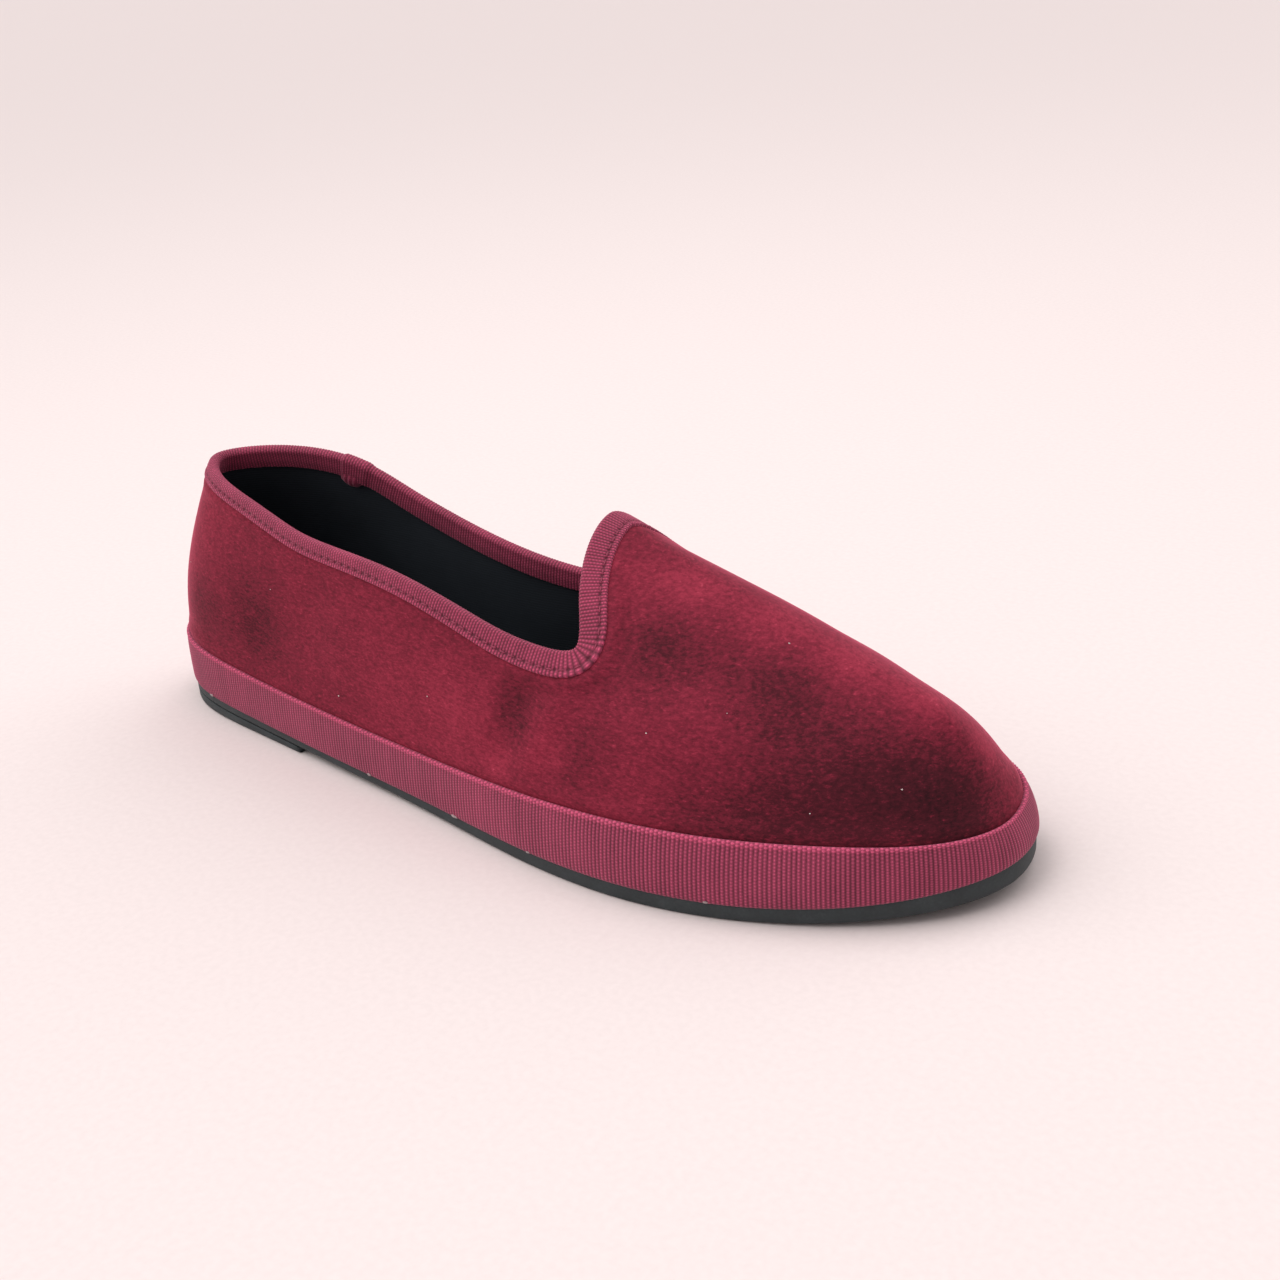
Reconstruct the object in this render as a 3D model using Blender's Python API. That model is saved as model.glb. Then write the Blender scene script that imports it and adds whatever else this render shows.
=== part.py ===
"""Furlane slipper, right shoe: velvet upper bound in grosgrain on a thin rubber sole.

Lengths are metres. The last lies along X with the heel at 0 and the toe at LENGTH, the wearer's
right (lateral) side towards -Y and the floor at z = 0. The finished shoe is then moved as a whole,
so that the middle of its box stands over the origin.
"""
import math

import bmesh
import bpy
import numpy as np

MM = 0.001

# Main sizes of the last
LENGTH = 255 * MM
BALL_WIDTH = 87 * MM
INSTEP_HEIGHT = 72 * MM
HEEL_HEIGHT = 68 * MM
HEEL_RISE = 3.6 * MM
TOE_SPRING = 3.6 * MM

# Materials' thicknesses and the play left between neighbours
GAP = 0.3 * MM
INNER_PLAY = 0.5 * MM
UPPER_WALL = 2.0 * MM
BAND_THICKNESS = 1.2 * MM
BINDING_THICKNESS = 0.7 * MM
INSOLE_THICKNESS = 6.0 * MM
RUBBER_THICKNESS = 3.2 * MM

# Widths of the grosgrain and set-backs of the rubber from the band
BAND_HEIGHT = 15.5 * MM
BINDING_OUTSIDE = 5.8 * MM
BINDING_INSIDE = 5.0 * MM
BINDING_LAP = 8.0 * MM
OUTSOLE_SET_BACK = 0.5 * MM
EDGE_CHAMFER = 0.8 * MM
INSOLE_CHAMFER = 1.0 * MM

# Form of the last, as shares of its own sizes
HEEL_LIFT_SHARE = 0.24
FLAT_FROM = 0.60
FLAT_TO = 0.76
ARCH_POWER = 1.3
SPRING_POWER = 2.0
HEEL_SPINE = 0.127 * LENGTH
TOE_SPINE = 0.078 * LENGTH
CROWN_POWER = 2.05
HEEL_SWELL = 1.2 * MM
SWELL_HEIGHT = 0.80 * HEEL_HEIGHT
SWELL_SHARE = 0.45
TONGUE_SHARE = 0.577
TONGUE_FOOT_SHARE = 0.82
LAP_SHARE = 0.19

LATERAL = -1
MEDIAL = 1

# Half widths of the sole band, as shares of BALL_WIDTH
OUTLINE = (
    # place, lateral, medial
    (0.060, 0.230, 0.240),
    (0.160, 0.298, 0.310),
    (0.300, 0.365, 0.300),
    (0.450, 0.440, 0.285),
    (0.580, 0.515, 0.375),
    (0.700, 0.542, 0.448),
    (0.820, 0.475, 0.425),
    (0.920, 0.335, 0.325),
    (0.975, 0.190, 0.215),
)

# Height of the last's crown over the floor, as shares of INSTEP_HEIGHT
CROWN = (
    # place, height
    (0.05, 1.065),
    (0.40, 1.240),
    (0.52, 1.090),
    (0.64, 0.900),
    (0.76, 0.738),
    (0.86, 0.606),
    (0.94, 0.480),
    (1.00, 0.270),
)

# Thickness of the outsole and height of the band, as shares of RUBBER_THICKNESS and BAND_HEIGHT
SOLE_EDGE = (
    # place, rubber, band
    (0.00, 0.80, 0.92),
    (0.35, 0.70, 0.80),
    (0.70, 1.15, 0.96),
    (0.90, 1.25, 0.80),
    (1.00, 1.60, 0.50),
)

# Top edge of the upper from the heel to the tongue, as shares of HEEL_HEIGHT
COLLAR = (
    # place, lateral height, medial height, binding's width outside
    (0.000, 1.020, 1.020, 0.58),
    (0.093, 0.975, 1.018, 0.58),
    (0.250, 0.882, 0.872, 0.62),
    (0.374, 0.850, 0.738, 0.68),
    (0.494, 0.765, 0.658, 0.76),
    (0.569, 0.718, 0.642, 0.88),
    (0.618, 0.728, 0.670, 0.95),
    (0.603, 0.865, 0.815, 1.00),
)

# The ridge's shift to the medial side, as a share of BALL_WIDTH, and how round the plan is there
RIDGE = (
    # place, shift, power
    (0.000, 0.000, 2.10),
    (0.300, 0.005, 2.00),
    (0.573, 0.015, 1.60),
    (0.800, 0.010, 1.85),
    (1.000, 0.000, 2.10),
)

# How finely the faceted bodies are divided
QUARTER_COLUMNS = 17
DIP_COLUMNS = 16
TONGUE_COLUMNS = 8
HEEL_CROWDING = 1.3
DIP_FROM = 0.72
DIP_TO = 0.90
FOOT_SPREAD = 0.7
COLUMN_BEND = 2.2
RIDGE_COLUMNS = 13
WALL_ROWS = 11
LIFT_COLUMNS = 14
BAND_ROWS = 3
BINDING_ROWS = 3
BEND_POINTS = 3
BEND_HEIGHT_SHARE = 1.5
LAP_THICKNESS_SHARE = 0.5
FIRST_RISE = 0.8
RISE_ROUNDS = 6
SLIDE_STRIDES = 3
PROBE = 0.0005
RIGHT_ANGLE = math.pi / 2
SMOOTH_ANGLE = math.radians(40)


def smooth_curve(places, values, level_start=False, level_end=False):
    """Cubic curve through the points, free at each end or level there."""
    places = np.asarray(places, float)
    values = np.asarray(values, float)
    steps = np.diff(places)
    slopes = np.diff(values) / steps
    size = len(places)
    system = np.zeros((size, size))
    right = np.zeros(size)
    system[0, 0] = 1.0
    system[-1, -1] = 1.0
    for row in range(1, size - 1):
        system[row, row - 1] = steps[row - 1]
        system[row, row] = 2 * (steps[row - 1] + steps[row])
        system[row, row + 1] = steps[row]
        right[row] = 6 * (slopes[row] - slopes[row - 1])
    if level_start:
        system[0, :2] = (2 * steps[0], steps[0])
        right[0] = 6 * slopes[0]
    if level_end:
        system[-1, -2:] = (steps[-1], 2 * steps[-1])
        right[-1] = -6 * slopes[-1]
    bends = np.linalg.solve(system, right)

    def at(place):
        place = np.asarray(place, float)
        span = np.clip(np.searchsorted(places, place, side="right") - 1, 0, size - 2)
        reach = place - places[span]
        step = steps[span]
        slope = slopes[span] - step * (2 * bends[span] + bends[span + 1]) / 6
        third = (bends[span + 1] - bends[span]) / (6 * step)
        return values[span] + reach * (slope + reach * (bends[span] / 2 + reach * third))

    return at


def turn_of(place):
    """Turn round the outline, 0 at the heel and 1 at the toe, for a share of the length."""
    return np.arccos(1 - 2 * np.asarray(place, float)) / np.pi


def outline_curve(column):
    """Half width of the sole band by turn, closed to nothing at heel and toe."""
    turns = [0.0] + [float(turn_of(row[0])) for row in OUTLINE] + [1.0]
    widths = [0.0] + [row[column] * BALL_WIDTH for row in OUTLINE] + [0.0]
    return smooth_curve(turns, widths)


def length_curve(table, column, size):
    """Value along the length from one column of a table of shares."""
    return smooth_curve([row[0] * LENGTH for row in table], [row[column] * size for row in table])


HALF_WIDTH = {LATERAL: outline_curve(1), MEDIAL: outline_curve(2)}
CROWN_CURVE = length_curve(CROWN, 1, INSTEP_HEIGHT)
RIDGE_CURVE = length_curve(RIDGE, 1, BALL_WIDTH)
PLAN_POWER_CURVE = length_curve(RIDGE, 2, 1.0)
RUBBER_CURVE = length_curve(SOLE_EDGE, 1, RUBBER_THICKNESS)
BAND_CURVE = length_curve(SOLE_EDGE, 2, BAND_HEIGHT)


def under(x):
    """Height of the outsole's underside: raised under heel and arch, flat at the ball, toe sprung."""
    arch = np.clip((FLAT_FROM - x / LENGTH) / FLAT_FROM, 0, None)
    spring = np.clip((x / LENGTH - FLAT_TO) / (1 - FLAT_TO), 0, None)
    return HEEL_RISE * arch ** ARCH_POWER + TOE_SPRING * spring ** SPRING_POWER


def sole_top(x):
    """Height of the outsole's upper face."""
    return under(x) + RUBBER_CURVE(x)


def seat(x):
    """Height at which band, upper and insole stand over the outsole."""
    return sole_top(x) + GAP


def fold(side, turn, rise):
    """Name a place past the heel, the toe or the ridge by the other side of the shoe."""
    side = np.where(turn < 0, -side, side)
    turn = np.abs(turn)
    side = np.where(turn > 1, -side, side)
    turn = np.where(turn > 1, 2 - turn, turn)
    side = np.where(rise > RIGHT_ANGLE, -side, side)
    rise = np.where(rise > RIGHT_ANGLE, math.pi - rise, rise)
    return side, turn, rise


def outline(side, turn, set_back=0.0):
    """Plan of the sole band's outer face, moved inwards by the set-back."""

    def plan(at):
        width = np.where(side < 0, HALF_WIDTH[LATERAL](at), HALF_WIDTH[MEDIAL](at))
        return np.stack([LENGTH * (1 - np.cos(np.pi * at)) / 2, side * width], -1)

    tangent = plan(turn + PROBE) - plan(turn - PROBE)
    tangent = tangent / np.linalg.norm(tangent, axis=-1, keepdims=True)
    inward = np.stack([tangent[..., 1], -tangent[..., 0]], -1) * np.asarray(side)[..., None]
    return plan(turn) + inward * set_back


def skin(side, turn, rise):
    """Outer face of the upper: rise is an angle, 0 at the sole and a right angle on the ridge."""
    side, turn, rise = fold(*np.broadcast_arrays(side, turn, rise))
    foot = outline(side, turn, BAND_THICKNESS + GAP)
    share = (1 - np.cos(np.pi * turn)) / 2
    run = LENGTH - TOE_SPINE - HEEL_SPINE
    spine = np.stack([HEEL_SPINE + run * share, RIDGE_CURVE(share * LENGTH)], -1)
    spread = foot - spine
    power = PLAN_POWER_CURVE(share * LENGTH)
    plan = spine + spread * (np.cos(rise) ** (2 / power))[..., None]
    climb = np.sin(rise) ** (2 / CROWN_POWER)
    height = (CROWN_CURVE(plan[..., 0]) - seat(plan[..., 0])) * climb
    swell = HEEL_SWELL * np.sin(np.pi * np.clip(height / SWELL_HEIGHT, 0, 1)) ** 2
    swell = swell * np.clip(1 - share / SWELL_SHARE, 0, None) ** 2
    outward = spread / np.linalg.norm(spread, axis=-1, keepdims=True)
    base = seat(plan[..., 0])
    plan = plan + outward * swell[..., None]
    return np.concatenate([plan, (base + height)[..., None]], -1)


def slopes_at(side, turn, rise):
    """How the outer face runs for a small change of turn and of rise."""
    rise = np.maximum(rise, 4 * PROBE)
    rise = np.where(np.abs(rise - RIGHT_ANGLE) < 4 * PROBE, RIGHT_ANGLE - 4 * PROBE, rise)
    by_turn = skin(side, turn + PROBE, rise) - skin(side, turn - PROBE, rise)
    by_rise = skin(side, turn, rise + PROBE) - skin(side, turn, rise - PROBE)
    return by_turn / (2 * PROBE), by_rise / (2 * PROBE)


def unit(vectors):
    """Vectors brought to length one."""
    return vectors / np.linalg.norm(vectors, axis=-1, keepdims=True)


def facing(side, turn, rise):
    """Outward unit normal of the outer face."""
    by_turn, by_rise = slopes_at(side, turn, rise)
    return unit(np.cross(by_turn, by_rise) * -np.asarray(side, float)[..., None])


def offset_skin(side, turn, rise, distance):
    """The outer face moved outwards, or inwards where the distance is negative."""
    side, turn, rise = np.broadcast_arrays(side, turn, rise)
    return skin(side, turn, rise) + facing(side, turn, rise) * distance


def rise_at(side, turn, height):
    """Rise at which the outer face stands at a height over the floor."""
    side, turn, height = np.broadcast_arrays(side, turn, height)
    rise = np.full(turn.shape, FIRST_RISE)
    for _ in range(RISE_ROUNDS):
        x = skin(side, turn, rise)[..., 0]
        climb = np.clip((height - seat(x)) / (CROWN_CURVE(x) - seat(x)), 0, 1)
        rise = np.arcsin(climb ** (CROWN_POWER / 2))
    return rise


def collar_edge(side):
    """Turn, rise and binding's width along the top edge, from the heel's middle to the peak."""
    column = 1 if side == LATERAL else 2
    turns = [float(turn_of(row[0])) for row in COLLAR]
    heights = [row[column] * HEEL_HEIGHT for row in COLLAR]
    rises = rise_at(np.full(len(turns), side), np.array(turns), np.array(heights))
    turns = np.append(turns, turn_of(TONGUE_SHARE))
    rises = np.append(rises, RIGHT_ANGLE)
    corners = skin(np.full(len(turns), side), turns, rises)
    strides = np.linalg.norm(np.diff(corners, axis=0), axis=1)
    places = np.concatenate([[0.0], np.cumsum(strides)]) / strides.sum()
    turn_curve = smooth_curve(places, turns, level_end=True)
    rise_curve = smooth_curve(places, rises, level_start=True)
    widths = [row[3] * BINDING_OUTSIDE for row in COLLAR] + [BINDING_OUTSIDE]
    return turn_curve, rise_curve, smooth_curve(places, widths, level_start=True)


def collar_places():
    """Places along the top edge, closer together in the tight curve beside the tongue."""
    quarter = DIP_FROM * np.linspace(0, 1, QUARTER_COLUMNS + 1) ** HEEL_CROWDING
    dip = np.linspace(DIP_FROM, DIP_TO, DIP_COLUMNS + 1)
    tongue = np.linspace(DIP_TO, 1, TONGUE_COLUMNS + 1)
    return np.concatenate([quarter, dip[1:], tongue[1:]])


def wall_columns(side):
    """Turn and rise of the grid on one side: columns from heel to toe, rows from sole to top."""
    turn_curve, rise_curve, _ = collar_edge(side)
    places = collar_places()
    edge_turns = turn_curve(places)
    edge_rises = rise_curve(places)
    dip = int(np.argmax(edge_turns))
    foot_turns = edge_turns.copy()
    peak_foot = float(turn_of(TONGUE_FOOT_SHARE))
    past_dip = (places[dip:] - places[dip]) / (1 - places[dip])
    foot_turns[dip:] = edge_turns[dip] + (peak_foot - edge_turns[dip]) * past_dip ** FOOT_SPREAD
    onward = np.linspace(0, 1, RIDGE_COLUMNS + 1)[1:]
    peak_turn = edge_turns[-1]
    edge_turns = np.concatenate([edge_turns, peak_turn + (1 - peak_turn) * onward])
    edge_rises = np.concatenate([edge_rises, np.full(RIDGE_COLUMNS, RIGHT_ANGLE)])
    foot_turns = np.concatenate([foot_turns, peak_foot + (1 - peak_foot) * onward])
    rows = np.linspace(0, 1, WALL_ROWS + 1)
    turns = foot_turns[:, None] + (edge_turns - foot_turns)[:, None] * rows ** COLUMN_BEND
    rises = edge_rises[:, None] * rows
    return turns, rises


def new_body(name, vertices, faces, material):
    """Closed body with its material, shaded smooth but for its real edges."""
    mesh = bpy.data.meshes.new(name)
    mesh.from_pydata([tuple(map(float, point)) for point in vertices], [], faces)
    work = bmesh.new()
    work.from_mesh(mesh)
    bmesh.ops.recalc_face_normals(work, faces=work.faces)
    work.to_mesh(mesh)
    work.free()
    mesh.shade_smooth()
    mesh.set_sharp_from_angle(angle=SMOOTH_ANGLE)
    mesh.materials.append(material)
    body = bpy.data.objects.new(name, mesh)
    bpy.context.collection.objects.link(body)
    return body


def new_material(name, colour, roughness):
    """Plain Principled material without metal."""
    material = bpy.data.materials.new(name)
    material.use_nodes = True
    shader = material.node_tree.nodes["Principled BSDF"]
    shader.inputs["Base Color"].default_value = (*colour, 1.0)
    shader.inputs["Roughness"].default_value = roughness
    shader.inputs["Metallic"].default_value = 0.0
    material.diffuse_color = (*colour, 1.0)
    return material


def ring_faces(first, second):
    """Quads between two closed rings of vertex numbers."""
    size = len(first)
    faces = []
    for spot in range(size):
        after = (spot + 1) % size
        faces.append((first[spot], first[after], second[after], second[spot]))
    return faces


def ladder_faces(ring):
    """Faces across a closed ring, rung by rung from its first point."""
    size = len(ring)
    faces = []
    low = 0
    high = size
    while low + 1 < high:
        rung = [ring[low], ring[low + 1], ring[high - 1], ring[high % size]]
        faces.append(tuple(dict.fromkeys(rung)))
        low += 1
        high -= 1
    return faces


def tube_body(name, sections, material):
    """Body whose closed sections follow one another round a closed loop."""
    columns, points, _ = sections.shape
    rings = [[column * points + point for point in range(points)] for column in range(columns)]
    faces = []
    for column in range(columns):
        faces += ring_faces(rings[column], rings[(column + 1) % columns])
    return new_body(name, sections.reshape(-1, 3), faces, material)


def plate_body(name, layers, material):
    """Body of closed rings one above the other, closed by a ladder of faces below and above."""
    count, points, _ = layers.shape
    rings = [[layer * points + point for point in range(points)] for layer in range(count)]
    faces = ladder_faces(rings[0]) + ladder_faces(rings[-1])
    for layer in range(count - 1):
        faces += ring_faces(rings[layer], rings[layer + 1])
    return new_body(name, layers.reshape(-1, 3), faces, material)


def sole_loop():
    """Sides and turns of the wall's columns once round the sole, out lateral and home medial."""
    lateral = wall_columns(LATERAL)[0][:, 0]
    medial = wall_columns(MEDIAL)[0][-2:0:-1, 0]
    sides = np.concatenate([np.full(len(lateral), LATERAL), np.full(len(medial), MEDIAL)])
    return sides, np.concatenate([lateral, medial])


def heel_loop():
    """Sides and turns round the heel lift, from the heel's middle to its straight front."""
    turns = np.linspace(0, float(turn_of(HEEL_LIFT_SHARE)), LIFT_COLUMNS + 1)
    sides = np.concatenate([np.full(LIFT_COLUMNS + 1, LATERAL), np.full(LIFT_COLUMNS, MEDIAL)])
    return sides, np.concatenate([turns, turns[:0:-1]])


def level_ring(loop, set_back, height):
    """Ring of points on the set-back outline, at a height that is a function of x."""
    plan = outline(*loop, set_back)
    return np.column_stack([plan, height(plan[:, 0])])


def build_outsole(material):
    """Thin rubber sole with chamfered lower edge, arch and toe spring."""
    loop = sole_loop()
    layers = [
        level_ring(loop, OUTSOLE_SET_BACK + EDGE_CHAMFER, under),
        level_ring(loop, OUTSOLE_SET_BACK, lambda x: under(x) + EDGE_CHAMFER),
        level_ring(loop, OUTSOLE_SET_BACK, sole_top),
    ]
    return plate_body("outsole", np.array(layers), material)


def build_heel_lift(material):
    """Rubber lift under the heel, flat on the floor and ending in a straight step."""
    loop = heel_loop()
    layers = [
        level_ring(loop, OUTSOLE_SET_BACK + EDGE_CHAMFER, lambda x: 0 * x),
        level_ring(loop, OUTSOLE_SET_BACK, lambda x: 0 * x + EDGE_CHAMFER),
        level_ring(loop, OUTSOLE_SET_BACK, lambda x: under(x) - GAP),
    ]
    return plate_body("heel_lift", np.array(layers), material)


def inner_ring(loop, lift, set_in):
    """Ring at a height over the seat that keeps clear of the upper's inner face."""
    side, turn = loop
    foot = outline(side, turn, BAND_THICKNESS + GAP)
    rise = rise_at(side, turn, seat(foot[:, 0]) + lift)
    points = offset_skin(side, turn, rise, -(UPPER_WALL + INNER_PLAY + set_in))
    points[:, 2] = seat(points[:, 0]) + lift
    return points


def build_insole(material):
    """Footbed that fills the upper's foot, its upper edge chamfered."""
    loop = sole_loop()
    layers = [
        inner_ring(loop, 0.0, 0.0),
        inner_ring(loop, INSOLE_THICKNESS - INSOLE_CHAMFER, 0.0),
        inner_ring(loop, INSOLE_THICKNESS, INSOLE_CHAMFER),
    ]
    return plate_body("insole", np.array(layers), material)


def build_sole_band(material):
    """Grosgrain band round the upper's foot, its top edge drawn in with the upper."""
    side, turn = sole_loop()
    foot = outline(side, turn, BAND_THICKNESS + GAP)
    height = BAND_CURVE(foot[:, 0])
    inner = []
    outer = []
    for level in np.linspace(0, 1, BAND_ROWS + 1):
        rise = rise_at(side, turn, seat(foot[:, 0]) + level * height)
        inner.append(offset_skin(side, turn, rise, GAP))
        outer.append(offset_skin(side, turn, rise, GAP + BAND_THICKNESS))
    inner[0][:, 2] = seat(inner[0][:, 0])
    outer[0][:, 2] = seat(outer[0][:, 0])
    sections = np.stack(outer + inner[::-1], axis=1)
    return tube_body("sole_band", sections, material)


def upper_numbers():
    """Vertex numbers of the two sides' grids, which share heel, toe and ridge."""
    collar = len(collar_places()) - 1
    columns = collar + RIDGE_COLUMNS + 1
    rows = WALL_ROWS + 1
    lateral = np.arange(columns * rows).reshape(columns, rows)
    medial = lateral + columns * rows
    medial[0] = lateral[0]
    medial[-1] = lateral[-1]
    medial[collar:, -1] = lateral[collar:, -1]
    return lateral, medial


def build_upper(material):
    """One hollow wall from sole to collar, open at the collar and underneath."""
    outer = []
    inner = []
    for side in (LATERAL, MEDIAL):
        turns, rises = wall_columns(side)
        sides = np.full(turns.shape, side)
        outer.append(skin(sides, turns, rises))
        inside = offset_skin(sides, turns, rises, -UPPER_WALL)
        inside[:, 0, 2] = seat(inside[:, 0, 0])
        inner.append(inside)
    numbers = upper_numbers()
    points = np.concatenate([np.array(outer).reshape(-1, 3), np.array(inner).reshape(-1, 3)])
    across = len(points) // 2
    faces = []
    for grid in numbers:
        for column in range(grid.shape[0] - 1):
            for row in range(grid.shape[1] - 1):
                quad = (
                    grid[column, row],
                    grid[column + 1, row],
                    grid[column + 1, row + 1],
                    grid[column, row + 1],
                )
                faces.append(tuple(int(spot) for spot in quad))
                faces.append(tuple(int(spot) + across for spot in quad))
    lateral, medial = numbers
    foot_ring = [int(spot) for spot in (*lateral[:, 0], *medial[-2:0:-1, 0])]
    collar = len(collar_places()) - 1
    top_ring = [int(spot) for spot in (*lateral[: collar + 1, -1], *medial[collar - 1 : 0 : -1, -1])]
    for ring in (foot_ring, top_ring):
        faces += ring_faces(ring, [spot + across for spot in ring])
    used = sorted({spot for face in faces for spot in face})
    renumber = {spot: place for place, spot in enumerate(used)}
    faces = [tuple(renumber[spot] for spot in face) for face in faces]
    return new_body("upper", points[used], faces, material)


def slide(side, turn, rise, heading, distance):
    """Turn and rise a distance away over the outer face, in the heading given at each place."""
    for _ in range(SLIDE_STRIDES):
        by_turn, by_rise = slopes_at(side, turn, rise)
        move = heading * distance / SLIDE_STRIDES
        a = np.sum(by_turn * by_turn, -1)
        b = np.sum(by_turn * by_rise, -1)
        c = np.sum(by_rise * by_rise, -1)
        d = np.sum(by_turn * move, -1)
        e = np.sum(by_rise * move, -1)
        bottom = a * c - b * b
        turn = turn + (d * c - e * b) / bottom
        rise = rise + (e * a - d * b) / bottom
    return turn, rise


def build_collar_binding(material):
    """Grosgrain strip folded over the collar, its end lapped over its start on the medial side."""
    places = collar_places()
    parts = []
    for side, order in ((LATERAL, slice(None, -1)), (MEDIAL, slice(None, 0, -1))):
        turn_curve, rise_curve, width_curve = collar_edge(side)
        turn = turn_curve(places)[order]
        rise = rise_curve(places)[order]
        width = width_curve(places)[order, None]
        parts.append((np.full(turn.shape, side), turn, rise, width))
    side, turn, rise, width = (np.concatenate(values) for values in zip(*parts))
    edge = skin(side, turn, rise)
    along = unit(np.roll(edge, -1, axis=0) - np.roll(edge, 1, axis=0))
    normal = facing(side, turn, rise)
    away = unit(np.cross(along, normal))
    lap = lap_thickness(edge, side)
    outside = []
    inside = []
    for share in np.linspace(0, 1, BINDING_ROWS + 1):
        place = slide(side, turn, rise, away, share * width)
        point = skin(side, *place)
        normal_here = facing(side, *place)
        top = (GAP + BINDING_THICKNESS + lap)[:, None]
        outside.append((point + normal_here * GAP, point + normal_here * top))
        place = slide(side, turn, rise, away, share * BINDING_INSIDE)
        point = skin(side, *place)
        normal_here = facing(side, *place)
        depth = UPPER_WALL + INNER_PLAY
        inside.append((point - normal_here * depth, point - normal_here * (UPPER_WALL + top)))
    middle = edge - normal * (UPPER_WALL / 2)
    reach = (UPPER_WALL / 2 + GAP + BINDING_THICKNESS + lap)[:, None]
    height = (GAP + BINDING_THICKNESS + lap)[:, None] * BEND_HEIGHT_SHARE
    bend = []
    for spot in range(1, BEND_POINTS + 1):
        angle = math.pi * spot / (BEND_POINTS + 1)
        bend.append(middle + normal * reach * math.cos(angle) - away * height * math.sin(angle))
    groove = [
        edge + normal * GAP - away * GAP,
        edge - normal * (UPPER_WALL + INNER_PLAY) - away * GAP,
    ]
    section = [pair[1] for pair in outside[::-1]]
    section += bend
    section += [pair[1] for pair in inside]
    section += [pair[0] for pair in inside[:0:-1]]
    section += groove[::-1]
    section += [pair[0] for pair in outside[1:]]
    return tube_body("collar_binding", np.stack(section, axis=1), material)


def lap_thickness(edge, side):
    """Extra thickness where the strip's end lies over its start."""
    start = LAP_SHARE * LENGTH
    inside = (side == MEDIAL) & (edge[:, 0] > start) & (edge[:, 0] < start + BINDING_LAP)
    return np.where(inside, BINDING_THICKNESS * LAP_THICKNESS_SHARE, 0.0)


def stand_over_origin(bodies):
    """Move the whole shoe so that the middle of its box is over the origin."""
    corners = np.array([vertex.co for body in bodies for vertex in body.data.vertices])
    middle = (corners.min(axis=0) + corners.max(axis=0)) / 2
    for body in bodies:
        body.location = (-middle[0], -middle[1], 0.0)


def build():
    """All pieces of the slipper."""
    velvet = new_material("velvet", (0.19, 0.022, 0.040), 0.9)
    grosgrain = new_material("grosgrain", (0.25, 0.040, 0.080), 0.75)
    rubber = new_material("rubber", (0.035, 0.045, 0.048), 0.6)
    lining = new_material("lining", (0.010, 0.012, 0.016), 0.85)
    bodies = [
        build_outsole(rubber),
        build_heel_lift(rubber),
        build_insole(lining),
        build_sole_band(grosgrain),
        build_upper(velvet),
        build_collar_binding(grosgrain),
    ]
    stand_over_origin(bodies)


for old in list(bpy.data.objects):
    bpy.data.objects.remove(old, do_unlink=True)
build()
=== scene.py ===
import math

import bmesh
import bpy
import numpy as np
from mathutils import Matrix, Vector


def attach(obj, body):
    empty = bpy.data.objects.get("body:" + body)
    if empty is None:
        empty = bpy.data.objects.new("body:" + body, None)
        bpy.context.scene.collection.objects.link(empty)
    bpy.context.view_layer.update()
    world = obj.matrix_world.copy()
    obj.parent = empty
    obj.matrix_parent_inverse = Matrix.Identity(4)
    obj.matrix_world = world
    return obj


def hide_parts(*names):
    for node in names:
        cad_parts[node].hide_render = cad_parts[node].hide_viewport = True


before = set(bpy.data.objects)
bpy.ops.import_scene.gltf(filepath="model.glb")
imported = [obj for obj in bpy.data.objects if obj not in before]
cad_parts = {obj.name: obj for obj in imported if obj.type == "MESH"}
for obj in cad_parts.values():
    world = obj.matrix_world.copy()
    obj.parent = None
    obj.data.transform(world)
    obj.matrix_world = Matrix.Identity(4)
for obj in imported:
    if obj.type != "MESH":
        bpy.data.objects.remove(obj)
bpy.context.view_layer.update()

MM = 0.001

# Sizes of the last, as in the part's source
LENGTH = 255 * MM
BALL_WIDTH = 87 * MM
INSTEP_HEIGHT = 72 * MM
HEEL_HEIGHT = 68 * MM
HEEL_RISE = 3.6 * MM
TOE_SPRING = 3.6 * MM
GAP = 0.3 * MM
INNER_PLAY = 0.5 * MM
UPPER_WALL = 2.0 * MM
BAND_THICKNESS = 1.2 * MM
BINDING_THICKNESS = 0.7 * MM
INSOLE_THICKNESS = 6.0 * MM
RUBBER_THICKNESS = 3.2 * MM
BAND_HEIGHT = 15.5 * MM
BINDING_OUTSIDE = 5.8 * MM
BINDING_INSIDE = 5.0 * MM
BINDING_LAP = 8.0 * MM
OUTSOLE_SET_BACK = 0.5 * MM
EDGE_ROUND = 0.8 * MM
HEEL_LIFT_SHARE = 0.24
FLAT_FROM = 0.60
FLAT_TO = 0.76
ARCH_POWER = 1.3
SPRING_POWER = 2.0
HEEL_SPINE = 0.127 * LENGTH
TOE_SPINE = 0.078 * LENGTH
CROWN_POWER = 2.05
HEEL_SWELL = 1.2 * MM
SWELL_HEIGHT = 0.80 * HEEL_HEIGHT
SWELL_SHARE = 0.45
TONGUE_SHARE = 0.577
TONGUE_FOOT_SHARE = 0.82
LAP_SHARE = 0.19
LATERAL = -1
MEDIAL = 1
OUTLINE = (
    # place, lateral, medial
    (0.060, 0.230, 0.240),
    (0.160, 0.298, 0.310),
    (0.300, 0.365, 0.300),
    (0.450, 0.440, 0.285),
    (0.580, 0.515, 0.375),
    (0.700, 0.542, 0.448),
    (0.820, 0.475, 0.425),
    (0.920, 0.335, 0.325),
    (0.975, 0.190, 0.215),
)
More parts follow.
